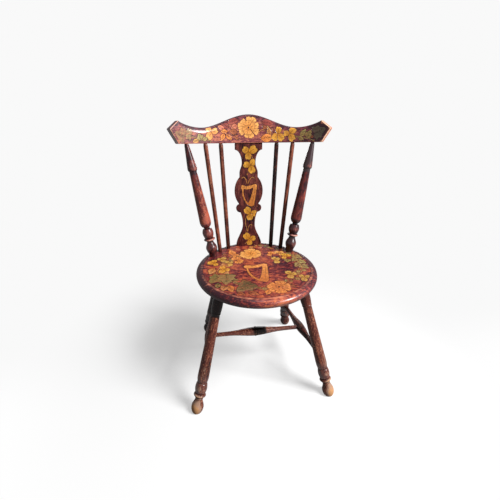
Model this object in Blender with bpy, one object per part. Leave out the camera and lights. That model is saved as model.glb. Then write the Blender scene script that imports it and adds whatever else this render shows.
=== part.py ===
# Pokerwork chair, in metres, +Z up. The origin is on the floor under the middle of the seat.
# +X is to the right of someone facing the chair, and +Y is to its back.
# A round plank seat stands on four splayed turned legs, which an H of stretchers ties together.
# Two turned posts, four plain spindles and a fretted splat stand along the back of the seat.
# They carry a bent crest rail. Every stick ends in a round tenon that is glued into a blind socket.
import bpy
import bmesh
from math import cos, pi, radians, sin, sqrt, tan
from mathutils import Vector

for old_object in list(bpy.data.objects):
    bpy.data.objects.remove(old_object, do_unlink=True)

# Fit between glued pieces
CLEARANCE = 0.0003

# Seat
SEAT_DIAMETER = 0.406
SEAT_HEIGHT = 0.413
SEAT_THICKNESS = 0.028
SEAT_EDGE_WIDTH = 0.020           # how far the rounding of the rim runs in on the top
SEAT_EDGE_DROP = 0.015            # from the top down to the widest line of the rim
SEAT_UNDERCUT = 0.009             # how far the rim draws in underneath

# Where the legs enter the seat, and how they spread
FRONT_LEG_INSET = 0.041           # from the seat's edge to the leg's axis, on the underside
FRONT_LEG_ANGLE = radians(54.9)   # round the seat from its front
FRONT_LEG_SPLAY = radians(14.1)   # sideways
FRONT_LEG_RAKE = radians(16.1)    # forwards
REAR_LEG_INSET = 0.0356           # from the circle of the back's feet to the leg's axis, on the underside
REAR_LEG_ANGLE = radians(57.4)    # round the seat from its back
REAR_LEG_SPLAY = radians(8.9)
REAR_LEG_RAKE = radians(17.7)     # backwards

# Leg turning, from the floor up
LEG_BULB_RADIUS = 0.0199
LEG_BULB_BELOW = 0.0190           # floor to the widest line of the foot
LEG_BULB_ROUND = 0.0290           # how far the foot would reach below that line if it were not cut level
LEG_BULB_ABOVE = 0.0295
LEG_NECK_RADIUS = 0.0122
LEG_BEAD_RADIUS = 0.0140
LEG_BEAD_LENGTH = 0.0055
LEG_RING_RADIUS = 0.0199
LEG_RING_LENGTH = 0.0160
LEG_RING_GROOVE = 0.0166          # radius of the cut between ring and barrel
LEG_BARREL_RADIUS = 0.0195
LEG_BARREL_LENGTH = 0.0360
LEG_GROOVE_RADIUS = 0.0138
LEG_SHOULDER_LENGTH = 0.0230
LEG_SHAFT_RADIUS = 0.0184
LEG_SHAFT_TOP_RADIUS = 0.0144
LEG_TOP_RING_RADIUS = 0.0162
LEG_TOP_RING_LENGTH = 0.0060
LEG_TOP_GROOVE = 0.0150           # radius of the cut above that ring
LEG_TOP_LENGTH = 0.0660           # swelling top, from the ring up to the seat
LEG_TOP_RADIUS = 0.0174
LEG_TOP_TAPER = 0.0300            # upper end of the swelling, drawn in to the tenon
LEG_TENON_RADIUS = 0.0125
LEG_SOCKET_COVER = 0.0055         # wood left between the socket and the seat's top

# Stretchers
FRONT_STRETCHER_HEIGHT = 0.150    # on the front legs' axes
REAR_STRETCHER_HEIGHT = 0.125     # on the rear legs' axes
STRETCHER_TENON_RADIUS = 0.0080
STRETCHER_TENON_DEPTH = 0.0200
STRETCHER_NECK_LENGTH = 0.0180    # plain stretch outside the socket
STRETCHER_FULLNESS = 4.0          # 1 swells from end to end, larger values only near the middle
SIDE_STRETCHER_RADIUS = 0.0155
CROSS_STRETCHER_RADIUS = 0.0165
CROSS_RING_LENGTH = 0.0070        # raised ring at the middle of the cross stretcher
CROSS_RING_RISE = 0.0012

# Back: the feet of posts, spindles and splat stand on a circle round the seat's middle
BACK_INSET = 0.0324               # from the seat's edge to that circle
BACK_HEIGHT = 0.3718              # seat top to the underside of the crest rail
BACK_LEAN = radians(4.9)
INNER_SPINDLE_ANGLE = radians(28.2)   # round the seat from its back
STICK_PITCH = radians(13.25)      # from each stick to the next, round the seat
INNER_SPINDLE_REACH = 0.0966      # along the crest rail, from its middle
SPINDLE_SPACING = 0.0545          # along the crest rail, inner to outer spindle
POST_SPACING = 0.0673             # along the crest rail, outer spindle to post
SEAT_SOCKET_COVER = 0.0090        # wood left under the sockets in the seat's top
CREST_SOCKET_DEPTH = 0.0260

# Post turning, from the seat up
POST_FOOT_RADIUS = 0.0125
POST_URN_RADIUS = 0.0194
POST_URN_RISE = 0.0300
POST_URN_FALL = 0.0260
POST_NECK_RADIUS = 0.0110
POST_RING_RADIUS = 0.0195
POST_RING_LENGTH = 0.0130
POST_RING_GROOVE = 0.0147         # radius of the cut between ring and ball
POST_BALL_RADIUS = 0.0190
POST_BALL_LENGTH = 0.0335
POST_COLLAR_RADIUS = 0.0102
POST_COLLAR_LENGTH = 0.0045
POST_GROOVE_RADIUS = 0.0078
POST_SHOULDER_LENGTH = 0.0200
POST_SHAFT_RADIUS = 0.0194
POST_SHAFT_TOP_RADIUS = 0.0120
POST_CONE_RADIUS = 0.0158
POST_CONE_STEP = 0.0090
POST_CONE_LENGTH = 0.0760
POST_NOSE_RADIUS = 0.0074
POST_NOSE_LENGTH = 0.0040
CREST_TENON_RADIUS = 0.0062       # posts and spindles alike

# Spindles
SPINDLE_RADIUS = 0.0074
SPINDLE_TAPER = 0.0080

# Crest rail: an outline along the rail, bent to an arc and leaned back
CREST_THICKNESS = 0.020
CREST_BEND_RADIUS = 0.4027
CREST_LEAN = radians(8.46)
CREST_CENTRE_HEIGHT = 0.0903
CREST_DIP_HEIGHT = 0.0485
CREST_DIP_REACH = 0.1645
CREST_EAR_HEIGHT = 0.0677         # upper corner of the ear at each end
CREST_POINT_HEIGHT = 0.0431       # outermost point of the ear
CREST_OVERHANG = 0.0328           # from the post out to the lower corner of the ear
CREST_POINT_OUT = 0.0283          # from that corner out to the point
CREST_EAR_BACK = 0.0327           # from the point back to the upper corner

# Splat, half its outline
SPLAT_THICKNESS = 0.0090
SPLAT_FOOT_HALF = 0.0480
SPLAT_WAIST_HALF = 0.0222
SPLAT_WAIST_RISE = 0.0470         # from the waist up to the scroll
SPLAT_LOBE_RADIUS = 0.0155
SPLAT_LOBE_CENTRE = 0.0310        # from the middle line
SPLAT_LOBE_OVERLAP = 0.0019       # scroll's middle above the bottom of the boss's oval
SPLAT_BOSS_HALF_WIDTH = 0.0510
SPLAT_BOSS_HALF_HEIGHT = 0.0640
SPLAT_BOSS_PLACE = 0.559          # boss's middle, as a share of the way from seat to crest rail
SPLAT_STEP_LENGTH = 0.0140
SPLAT_STEP_HALF = 0.0325
SPLAT_NECK_HALF = 0.0239
SPLAT_NECK_BELOW = 0.0660         # narrowest line of the neck, below the crest rail
SPLAT_HEAD_HALF = 0.0475
SPLAT_HEAD_LENGTH = 0.0220
SPLAT_TONGUE_HALF = 0.0320

# Brads through the crest rail into the posts' tenons, driven from behind
BRAD_RADIUS = 0.0013
BRAD_HEIGHT = 0.0130              # above the underside of the crest rail
BRAD_POINT_COVER = 0.0030         # wood left in front of the brad's point

# Fineness of the round shapes, and spare length of the cutters
SEAT_SIDES = 60
TURNED_SIDES = 14
SPINDLE_SIDES = 12
SOCKET_SIDES = 18
BRAD_SIDES = 10
CURVE_STEPS = 6
BEAD_STEPS = 4                    # on small beads and rings
LOBE_STEPS = 18
BOSS_STEPS = 12
CREST_STEPS = 14
SOCKET_MOUTH = 0.020              # how far a socket's cutter stands out of the wood
SHARP_ANGLE = radians(35)         # edges bent more than this are shaded sharp

# Derived sizes and places
SEAT_RADIUS = SEAT_DIAMETER / 2
SEAT_UNDERSIDE = SEAT_HEIGHT - SEAT_THICKNESS
SEAT_SOCKET_DEPTH = SEAT_THICKNESS - SEAT_SOCKET_COVER
BACK_RADIUS = SEAT_RADIUS - BACK_INSET
OUTER_SPINDLE_ANGLE = INNER_SPINDLE_ANGLE + STICK_PITCH
POST_ANGLE = OUTER_SPINDLE_ANGLE + STICK_PITCH
OUTER_SPINDLE_REACH = INNER_SPINDLE_REACH + SPINDLE_SPACING
POST_REACH = OUTER_SPINDLE_REACH + POST_SPACING
CREST_FOOT_REACH = POST_REACH + CREST_OVERHANG
CREST_POINT_REACH = CREST_FOOT_REACH + CREST_POINT_OUT
CREST_EAR_REACH = CREST_POINT_REACH - CREST_EAR_BACK
CREST_BASE = Vector((0, BACK_RADIUS + BACK_HEIGHT * tan(BACK_LEAN), SEAT_HEIGHT + BACK_HEIGHT))
BACK_SPAN = BACK_HEIGHT / cos(BACK_LEAN)
SPLAT_BOSS_HEIGHT = SPLAT_BOSS_PLACE * BACK_SPAN
SPLAT_LOBE_HEIGHT = SPLAT_BOSS_HEIGHT - SPLAT_BOSS_HALF_HEIGHT + SPLAT_LOBE_OVERLAP
UP = Vector((0, 0, 1))
CREST_UP = Vector((0, sin(CREST_LEAN), cos(CREST_LEAN)))
SIDES = {"left": -1, "right": 1}


def wood(name, colour, roughness):
    material = bpy.data.materials.new(name)
    material.use_nodes = True
    shader = material.node_tree.nodes["Principled BSDF"]
    shader.inputs["Base Color"].default_value = (*colour, 1)
    shader.inputs["Roughness"].default_value = roughness
    return material


def steel(name):
    material = wood(name, (0.32, 0.30, 0.28), 0.45)
    material.node_tree.nodes["Principled BSDF"].inputs["Metallic"].default_value = 1
    return material


SEAT_WOOD = wood("seat stain", (0.22, 0.055, 0.028), 0.30)
TURNED_WOOD = wood("turned stain", (0.13, 0.040, 0.022), 0.32)
BOARD_WOOD = wood("board stain", (0.17, 0.045, 0.026), 0.30)
BRAD_STEEL = steel("brad steel")

chair = bpy.data.objects.new("chair", None)
bpy.context.collection.objects.link(chair)


# Shared modelling steps
def add_object(name, shape, material):
    bmesh.ops.recalc_face_normals(shape, faces=shape.faces)
    mesh = bpy.data.meshes.new(name)
    shape.to_mesh(mesh)
    shape.free()
    mesh.shade_smooth()
    mesh.set_sharp_from_angle(angle=SHARP_ANGLE)
    item = bpy.data.objects.new(name, mesh)
    bpy.context.collection.objects.link(item)
    item.parent = chair
    if material:
        mesh.materials.append(material)
    return item


def point_along(item, start, end):
    item.location = start
    item.rotation_euler = (end - start).to_track_quat("Z", "Y").to_euler()


def spun(profile, sides):
    shape = bmesh.new()
    line = [shape.verts.new((radius, 0, height)) for height, radius in profile]
    edges = [shape.edges.new(pair) for pair in zip(line, line[1:])]
    bmesh.ops.spin(shape, geom=line + edges, axis=(0, 0, 1), cent=(0, 0, 0),
                   angle=2 * pi, steps=sides, use_merge=True)
    rims = [edge for edge in shape.edges if edge.is_boundary]
    bmesh.ops.holes_fill(shape, edges=rims, sides=0)
    return shape


def turned(name, start, end, profile, sides, material):
    item = add_object(name, spun(profile, sides), material)
    point_along(item, start, end)
    return item


def cut(item, cutter):
    cutter.hide_render = True
    cutter.display_type = "WIRE"
    boolean = item.modifiers.new("cut " + cutter.name, "BOOLEAN")
    boolean.operation = "DIFFERENCE"
    boolean.solver = "EXACT"
    boolean.object = cutter


def bore(item, bottom, outward, depth, radius):
    # A socket for a tenon that ends at bottom: it clears the tenon all round and at its end.
    direction = outward.normalized()
    profile = [(-CLEARANCE, radius + CLEARANCE), (depth + SOCKET_MOUTH, radius + CLEARANCE)]
    cutter = turned("socket in " + item.name, bottom, bottom + direction, profile, SOCKET_SIDES, None)
    cut(item, cutter)


def slant_reach(radius, along, normal):
    # How far along a slanted stick the rim of its socket spreads, to either side of the axis
    upright = abs(along.normalized().dot(normal))
    return (radius + CLEARANCE) * sqrt(1 - upright * upright) / upright


# Stretches of a turned profile, as (distance along the axis, radius)
def ease(start, end, r_start, r_end):
    for step in range(1, CURVE_STEPS + 1):
        part = step / CURVE_STEPS
        yield start + (end - start) * part, r_start + (r_end - r_start) * (1 - cos(pi * part)) / 2


def bulge(start, end, r_end, r_middle, steps):
    for step in range(1, steps + 1):
        part = step / steps
        yield start + (end - start) * part, r_end + (r_middle - r_end) * sin(pi * part)


def shoulder(start, end, r_start, r_end):
    for step in range(1, CURVE_STEPS + 1):
        angle = pi / 2 * step / CURVE_STEPS
        yield start + (end - start) * (1 - cos(angle)), r_start + (r_end - r_start) * sin(angle)


def radius_at(profile, distance):
    for (low, r_low), (high, r_high) in zip(profile, profile[1:]):
        if low <= distance <= high:
            return r_low + (r_high - r_low) * (distance - low) / (high - low)
    return profile[-1][1]


# Seat
def seat_profile():
    profile = []
    for step in range(CURVE_STEPS + 1):
        angle = pi / 2 * step / CURVE_STEPS
        profile.append((SEAT_HEIGHT - SEAT_EDGE_DROP * (1 - cos(angle)),
                        SEAT_RADIUS - SEAT_EDGE_WIDTH * (1 - sin(angle))))
    lower_drop = SEAT_THICKNESS - SEAT_EDGE_DROP
    for step in range(1, CURVE_STEPS + 1):
        angle = pi / 2 * step / CURVE_STEPS
        profile.append((SEAT_HEIGHT - SEAT_EDGE_DROP - lower_drop * sin(angle),
                        SEAT_RADIUS - SEAT_UNDERCUT * (1 - cos(angle))))
    return profile


def make_seat():
    return add_object("seat", spun(seat_profile(), SEAT_SIDES), SEAT_WOOD)


# Legs
def leg_profile(axis):
    length = axis.length
    tenon = length - slant_reach(LEG_TENON_RADIUS, axis, UP)
    profile = []
    for step in range(1, CURVE_STEPS + 1):
        angle = pi / 2 * step / CURVE_STEPS
        profile.append((LEG_BULB_BELOW - LEG_BULB_ROUND * cos(angle), LEG_BULB_RADIUS * sin(angle)))
    neck = LEG_BULB_BELOW + LEG_BULB_ABOVE
    bead = neck + LEG_BEAD_LENGTH
    ring = bead + LEG_RING_LENGTH
    barrel = ring + LEG_BARREL_LENGTH
    shaft = barrel + LEG_SHOULDER_LENGTH
    top_ring = length - LEG_TOP_LENGTH - LEG_TOP_RING_LENGTH
    profile += ease(LEG_BULB_BELOW, neck, LEG_BULB_RADIUS, LEG_NECK_RADIUS)
    profile += bulge(neck, bead, LEG_NECK_RADIUS, LEG_BEAD_RADIUS, BEAD_STEPS)
    profile += bulge(bead, ring, LEG_NECK_RADIUS, LEG_RING_RADIUS, BEAD_STEPS)
    profile[-1] = (ring, LEG_RING_GROOVE)
    profile += bulge(ring, barrel, LEG_RING_GROOVE, LEG_BARREL_RADIUS, CURVE_STEPS)
    profile[-1] = (barrel, LEG_GROOVE_RADIUS)
    profile += shoulder(barrel, shaft, LEG_GROOVE_RADIUS, LEG_SHAFT_RADIUS)
    profile.append((top_ring, LEG_SHAFT_TOP_RADIUS))
    profile.append((top_ring + LEG_TOP_RING_LENGTH / 2, LEG_TOP_RING_RADIUS))
    profile.append((top_ring + LEG_TOP_RING_LENGTH, LEG_TOP_GROOVE))
    profile += shoulder(top_ring + LEG_TOP_RING_LENGTH, tenon - LEG_TOP_TAPER, LEG_TOP_GROOVE, LEG_TOP_RADIUS)
    profile += ease(tenon - LEG_TOP_TAPER, tenon, LEG_TOP_RADIUS, LEG_TENON_RADIUS)
    profile.append((length + leg_tenon_depth(axis), LEG_TENON_RADIUS))
    return profile


def leg_tenon_depth(axis):
    # The slanted socket's upper rim stays below the seat's top.
    upright = axis.normalized().z
    rim = (LEG_TENON_RADIUS + CLEARANCE) * sqrt(1 - upright * upright)
    return (SEAT_THICKNESS - LEG_SOCKET_COVER - rim) / upright


def leg_line(end, side):
    # The leg's axis, from the floor to the seat's underside
    if end == "front":
        out, way = SEAT_RADIUS - FRONT_LEG_INSET, -1
        angle, splay, rake = FRONT_LEG_ANGLE, FRONT_LEG_SPLAY, FRONT_LEG_RAKE
    else:
        out, way = BACK_RADIUS - REAR_LEG_INSET, 1
        angle, splay, rake = REAR_LEG_ANGLE, REAR_LEG_SPLAY, REAR_LEG_RAKE
    top = Vector((side * out * sin(angle), way * out * cos(angle), SEAT_UNDERSIDE))
    foot = Vector((top.x + side * SEAT_UNDERSIDE * tan(splay), top.y + way * SEAT_UNDERSIDE * tan(rake), 0))
    return foot, top


def level_sole(item):
    # Cuts the foot of a standing leg off along the floor.
    place = item.rotation_euler.to_matrix()
    shape = bmesh.new()
    shape.from_mesh(item.data)
    everything = shape.verts[:] + shape.edges[:] + shape.faces[:]
    bmesh.ops.bisect_plane(shape, geom=everything, plane_co=(0, 0, 0),
                           plane_no=place.transposed() @ Vector((0, 0, 1)), clear_inner=True)
    rims = [edge for edge in shape.edges if edge.is_boundary]
    bmesh.ops.holes_fill(shape, edges=rims, sides=0)
    bmesh.ops.recalc_face_normals(shape, faces=shape.faces)
    shape.to_mesh(item.data)
    shape.free()
    item.data.set_sharp_from_angle(angle=SHARP_ANGLE)


def make_leg(end, side_name, seat):
    foot, top = leg_line(end, SIDES[side_name])
    axis = top - foot
    profile = leg_profile(axis)
    leg = turned("leg_" + end + "_" + side_name, foot, top, profile, TURNED_SIDES, TURNED_WOOD)
    level_sole(leg)
    depth = leg_tenon_depth(axis)
    bore(seat, top + axis.normalized() * depth, -axis, depth, LEG_TENON_RADIUS)
    return leg


# Stretchers
def stretcher_profile(length, radius):
    neck = STRETCHER_TENON_DEPTH + STRETCHER_NECK_LENGTH
    middle = length / 2
    half = [(0, STRETCHER_TENON_RADIUS), (neck, STRETCHER_TENON_RADIUS)]
    for step in range(1, CURVE_STEPS + 1):
        part = step / CURVE_STEPS
        swelling = sin(pi / 2 * part) ** STRETCHER_FULLNESS
        half.append((neck + (middle - neck) * part,
                     STRETCHER_TENON_RADIUS + (radius - STRETCHER_TENON_RADIUS) * swelling))
    return half + [(length - distance, size) for distance, size in reversed(half[:-1])]


def ringed(profile, length, radius):
    # Sets a raised ring round the middle of a stretcher.
    half = CROSS_RING_LENGTH / 2
    low, high = length / 2 - half, length / 2 + half
    before = [point for point in profile if point[0] < low]
    after = [point for point in profile if point[0] > high]
    ring = [(low, radius), (low + half / 2, radius + CROSS_RING_RISE),
            (high - half / 2, radius + CROSS_RING_RISE), (high, radius)]
    return before + ring + after


def join_stretcher(name, joints, radius, ring):
    # joints holds, for each end, the wood that it enters, the point on that wood's axis and its radius there.
    (first, start, r_start), (last, end, r_end) = joints
    along = (end - start).normalized()
    start = start + along * (r_start - STRETCHER_TENON_DEPTH)
    end = end - along * (r_end - STRETCHER_TENON_DEPTH)
    length = (end - start).length
    profile = stretcher_profile(length, radius)
    if ring:
        profile = ringed(profile, length, radius)
    stretcher = turned(name, start, end, profile, TURNED_SIDES, TURNED_WOOD)
    bore(first, start, along, STRETCHER_TENON_DEPTH, STRETCHER_TENON_RADIUS)
    bore(last, end, -along, STRETCHER_TENON_DEPTH, STRETCHER_TENON_RADIUS)
    return stretcher, (start + end) / 2


def leg_joint(leg, end, side, height):
    foot, top = leg_line(end, side)
    axis = top - foot
    distance = height / axis.normalized().z
    return leg, foot + axis.normalized() * distance, radius_at(leg_profile(axis), distance)


def make_stretchers(legs):
    cross_joints = []
    for side_name, side in SIDES.items():
        joints = [leg_joint(legs["front", side_name], "front", side, FRONT_STRETCHER_HEIGHT),
                  leg_joint(legs["rear", side_name], "rear", side, REAR_STRETCHER_HEIGHT)]
        name = "side_stretcher_" + side_name
        stretcher, middle = join_stretcher(name, joints, SIDE_STRETCHER_RADIUS, False)
        cross_joints.append((stretcher, middle, SIDE_STRETCHER_RADIUS))
    join_stretcher("cross_stretcher", cross_joints, CROSS_STRETCHER_RADIUS, True)


# Crest rail, in its own frame: X across, Y back, Z up its face
def crest_top(reach):
    if reach <= CREST_DIP_REACH:
        rise = CREST_CENTRE_HEIGHT - CREST_DIP_HEIGHT
        return CREST_DIP_HEIGHT + rise * (1 + cos(pi * reach / CREST_DIP_REACH)) / 2
    if reach <= CREST_EAR_REACH:
        part = (reach - CREST_DIP_REACH) / (CREST_EAR_REACH - CREST_DIP_REACH)
        return CREST_DIP_HEIGHT + (CREST_EAR_HEIGHT - CREST_DIP_HEIGHT) * part * part
    part = (reach - CREST_EAR_REACH) / (CREST_POINT_REACH - CREST_EAR_REACH)
    return CREST_EAR_HEIGHT + (CREST_POINT_HEIGHT - CREST_EAR_HEIGHT) * part


def crest_bottom(reach):
    if reach <= CREST_FOOT_REACH:
        return 0
    return CREST_POINT_HEIGHT * (reach - CREST_FOOT_REACH) / (CREST_POINT_REACH - CREST_FOOT_REACH)


def crest_local(along, height, forward):
    # Bends a point of the flat rail: along is measured on the middle of its thickness.
    angle = along / CREST_BEND_RADIUS
    radius = CREST_BEND_RADIUS - forward
    return Vector((radius * sin(angle), radius * cos(angle) - CREST_BEND_RADIUS, height))


def crest_world(along, height, forward):
    across, back, up = crest_local(along, height, forward)
    return CREST_BASE + Vector((across, back * cos(CREST_LEAN) + up * sin(CREST_LEAN),
                                up * cos(CREST_LEAN) - back * sin(CREST_LEAN)))


def crest_stations():
    half = [CREST_DIP_REACH * step / CREST_STEPS for step in range(CREST_STEPS + 1)]
    half += [CREST_DIP_REACH + (CREST_EAR_REACH - CREST_DIP_REACH) * step / CURVE_STEPS
             for step in range(1, CURVE_STEPS + 1)]
    half += [CREST_FOOT_REACH]
    return [-reach for reach in reversed(half[1:])] + half


def make_crest():
    shape = bmesh.new()
    front, back = CREST_THICKNESS / 2, -CREST_THICKNESS / 2
    rows = []
    for along in crest_stations():
        low, high = crest_bottom(abs(along)), crest_top(abs(along))
        corners = [(low, front), (low, back), (high, back), (high, front)]
        rows.append([shape.verts.new(crest_local(along, height, forward)) for height, forward in corners])
    for row, next_row in zip(rows, rows[1:]):
        for corner in range(4):
            following = (corner + 1) % 4
            shape.faces.new([row[corner], row[following], next_row[following], next_row[corner]])
    for row, end in ((rows[0], -CREST_POINT_REACH), (rows[-1], CREST_POINT_REACH)):
        tip_front = shape.verts.new(crest_local(end, CREST_POINT_HEIGHT, front))
        tip_back = shape.verts.new(crest_local(end, CREST_POINT_HEIGHT, back))
        shape.faces.new([row[0], row[1], tip_back, tip_front])
        shape.faces.new([row[2], row[3], tip_front, tip_back])
        shape.faces.new([row[1], row[2], tip_back])
        shape.faces.new([row[3], row[0], tip_front])
    crest = add_object("crest_rail", shape, BOARD_WOOD)
    crest.location = CREST_BASE
    crest.rotation_euler = (-CREST_LEAN, 0, 0)
    return crest


# Posts and spindles
def post_profile(length, foot, crest):
    # foot and crest are the ends of the plain tenons.
    urn = foot + POST_URN_RISE
    neck = urn + POST_URN_FALL
    ring = neck + POST_RING_LENGTH
    ball = ring + POST_BALL_LENGTH
    collar = ball + POST_COLLAR_LENGTH
    shaft = collar + POST_SHOULDER_LENGTH
    cone = crest - POST_CONE_LENGTH
    profile = [(0, POST_FOOT_RADIUS), (foot, POST_FOOT_RADIUS)]
    profile += ease(foot, urn, POST_FOOT_RADIUS, POST_URN_RADIUS)
    profile += ease(urn, neck, POST_URN_RADIUS, POST_NECK_RADIUS)
    profile += bulge(neck, ring, POST_NECK_RADIUS, POST_RING_RADIUS, BEAD_STEPS)
    profile[-1] = (ring, POST_RING_GROOVE)
    profile += bulge(ring, ball, POST_RING_GROOVE, POST_BALL_RADIUS, CURVE_STEPS)
    profile[-1] = (ball, POST_GROOVE_RADIUS)
    profile += bulge(ball, collar, POST_GROOVE_RADIUS, POST_COLLAR_RADIUS, BEAD_STEPS)
    profile += shoulder(collar, shaft, POST_GROOVE_RADIUS, POST_SHAFT_RADIUS)
    profile.append((cone - POST_CONE_STEP, POST_SHAFT_TOP_RADIUS))
    profile += shoulder(cone - POST_CONE_STEP, cone, POST_SHAFT_TOP_RADIUS, POST_CONE_RADIUS)
    profile += [(crest - POST_NOSE_LENGTH, POST_NOSE_RADIUS), (crest, CREST_TENON_RADIUS),
                (length, CREST_TENON_RADIUS)]
    return profile


def spindle_profile(length, foot, crest):
    return [(0, CREST_TENON_RADIUS), (foot, CREST_TENON_RADIUS),
            (foot + SPINDLE_TAPER, SPINDLE_RADIUS), (crest - SPINDLE_TAPER, SPINDLE_RADIUS),
            (crest, CREST_TENON_RADIUS), (length, CREST_TENON_RADIUS)]


def make_stick(name, angle, reach, foot_radius, make_profile, sides, seat, crest):
    foot = Vector((BACK_RADIUS * sin(angle), BACK_RADIUS * cos(angle), SEAT_HEIGHT))
    top = crest_world(reach, 0, 0)
    along = (top - foot).normalized()
    start = foot - along * SEAT_SOCKET_DEPTH
    end = top + along * CREST_SOCKET_DEPTH
    length = (end - start).length
    foot_end = SEAT_SOCKET_DEPTH + slant_reach(foot_radius, along, UP)
    crest_end = length - CREST_SOCKET_DEPTH - slant_reach(CREST_TENON_RADIUS, along, CREST_UP)
    stick = turned(name, start, end, make_profile(length, foot_end, crest_end), sides, TURNED_WOOD)
    bore(seat, start, along, SEAT_SOCKET_DEPTH, foot_radius)
    bore(crest, end, -along, CREST_SOCKET_DEPTH, CREST_TENON_RADIUS)
    return stick


def make_sticks(seat, crest):
    for side_name, side in SIDES.items():
        post = make_stick("back_post_" + side_name, side * POST_ANGLE, side * POST_REACH, POST_FOOT_RADIUS,
                          post_profile, TURNED_SIDES, seat, crest)
        make_brad(side_name, side, post, crest)
        make_stick("outer_spindle_" + side_name, side * OUTER_SPINDLE_ANGLE, side * OUTER_SPINDLE_REACH,
                   CREST_TENON_RADIUS, spindle_profile, SPINDLE_SIDES, seat, crest)
        make_stick("inner_spindle_" + side_name, side * INNER_SPINDLE_ANGLE, side * INNER_SPINDLE_REACH,
                   CREST_TENON_RADIUS, spindle_profile, SPINDLE_SIDES, seat, crest)


def make_brad(side_name, side, post, crest):
    # The post leans outwards, so the brad stands a little further along the rail than the post's entry.
    foot = Vector((side * BACK_RADIUS * sin(POST_ANGLE), BACK_RADIUS * cos(POST_ANGLE), SEAT_HEIGHT))
    entry = crest_world(side * POST_REACH, 0, 0)
    slope = (entry.x - foot.x) / (entry - foot).length
    reach = side * POST_REACH + slope * BRAD_HEIGHT / cos(POST_REACH / CREST_BEND_RADIUS)
    head = crest_world(reach, BRAD_HEIGHT, -CREST_THICKNESS / 2)
    point = crest_world(reach, BRAD_HEIGHT, CREST_THICKNESS / 2 - BRAD_POINT_COVER)
    length = (head - point).length
    turned("crest_brad_" + side_name, point, head, [(0, BRAD_RADIUS), (length, BRAD_RADIUS)],
           BRAD_SIDES, BRAD_STEEL)
    bore(post, point, head - point, length, BRAD_RADIUS)
    bore(crest, point, head - point, length, BRAD_RADIUS)


# Splat
def splat_half_outline():
    # Half widths and heights from the seat up, without the tongues
    waist_height = SPLAT_LOBE_HEIGHT - SPLAT_LOBE_RADIUS - SPLAT_WAIST_RISE
    outline = [(SPLAT_FOOT_HALF, 0)]
    outline += [(half, height) for height, half in ease(0, waist_height, SPLAT_FOOT_HALF, SPLAT_WAIST_HALF)]
    for step in range(1, CURVE_STEPS):
        part = step / CURVE_STEPS
        outline.append((SPLAT_WAIST_HALF + (SPLAT_LOBE_CENTRE - SPLAT_WAIST_HALF) * part * part,
                        waist_height + SPLAT_WAIST_RISE * part))
    outline += lobe_arc()
    outline += boss_arc()
    step_top = outline[-1][1] + SPLAT_STEP_LENGTH
    neck_height = BACK_SPAN - SPLAT_NECK_BELOW
    head_height = BACK_SPAN - SPLAT_HEAD_LENGTH
    outline.append((SPLAT_STEP_HALF, step_top))
    neck = ease(step_top, neck_height, SPLAT_STEP_HALF, SPLAT_NECK_HALF)
    outline += [(half, height) for height, half in neck]
    for step in range(1, CURVE_STEPS + 1):
        angle = pi / 2 * step / CURVE_STEPS
        outline.append((SPLAT_HEAD_HALF - (SPLAT_HEAD_HALF - SPLAT_NECK_HALF) * cos(angle),
                        neck_height + (head_height - neck_height) * sin(angle)))
    outline.append((SPLAT_HEAD_HALF, BACK_SPAN))
    return outline


def boss_half(height):
    share = (height - SPLAT_BOSS_HEIGHT) / SPLAT_BOSS_HALF_HEIGHT
    return SPLAT_BOSS_HALF_WIDTH * sqrt(max(0, 1 - share * share))


def lobe_arc():
    # The round scroll under the boss, up to where the boss covers it
    points = []
    for step in range(LOBE_STEPS):
        angle = -pi / 2 + pi * step / LOBE_STEPS
        half = SPLAT_LOBE_CENTRE + SPLAT_LOBE_RADIUS * cos(angle)
        height = SPLAT_LOBE_HEIGHT + SPLAT_LOBE_RADIUS * sin(angle)
        if angle > 0 and half < boss_half(height) + CLEARANCE:
            break
        points.append((half, height))
    return points


def boss_arc():
    # The oval boss, from the notch above the scroll to the step under the neck
    low = SPLAT_LOBE_HEIGHT + SPLAT_LOBE_RADIUS
    share = SPLAT_STEP_HALF / SPLAT_BOSS_HALF_WIDTH
    high = SPLAT_BOSS_HEIGHT + SPLAT_BOSS_HALF_HEIGHT * sqrt(1 - share * share)
    heights = [low + (high - low) * (1 - cos(pi * step / BOSS_STEPS)) / 2 for step in range(BOSS_STEPS + 1)]
    return [(boss_half(height), height) for height in heights]


def splat_point(across, height, forward):
    # The faces run straight from the level seat to the leaned crest rail.
    foot = Vector((across, BACK_RADIUS - forward, SEAT_HEIGHT))
    top = CREST_BASE + Vector((across, -forward * cos(CREST_LEAN), forward * sin(CREST_LEAN)))
    return foot.lerp(top, height / BACK_SPAN)


def slab(name, half_outline, half_thickness, material):
    outline = half_outline + [(-half, height) for half, height in reversed(half_outline)]
    shape = bmesh.new()
    front = [shape.verts.new(splat_point(half, height, half_thickness)) for half, height in outline]
    back = [shape.verts.new(splat_point(half, height, -half_thickness)) for half, height in outline]
    shape.faces.new(front)
    shape.faces.new(list(reversed(back)))
    for index in range(len(outline)):
        following = (index + 1) % len(outline)
        shape.faces.new([front[following], front[index], back[index], back[following]])
    return add_object(name, shape, material)


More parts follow.
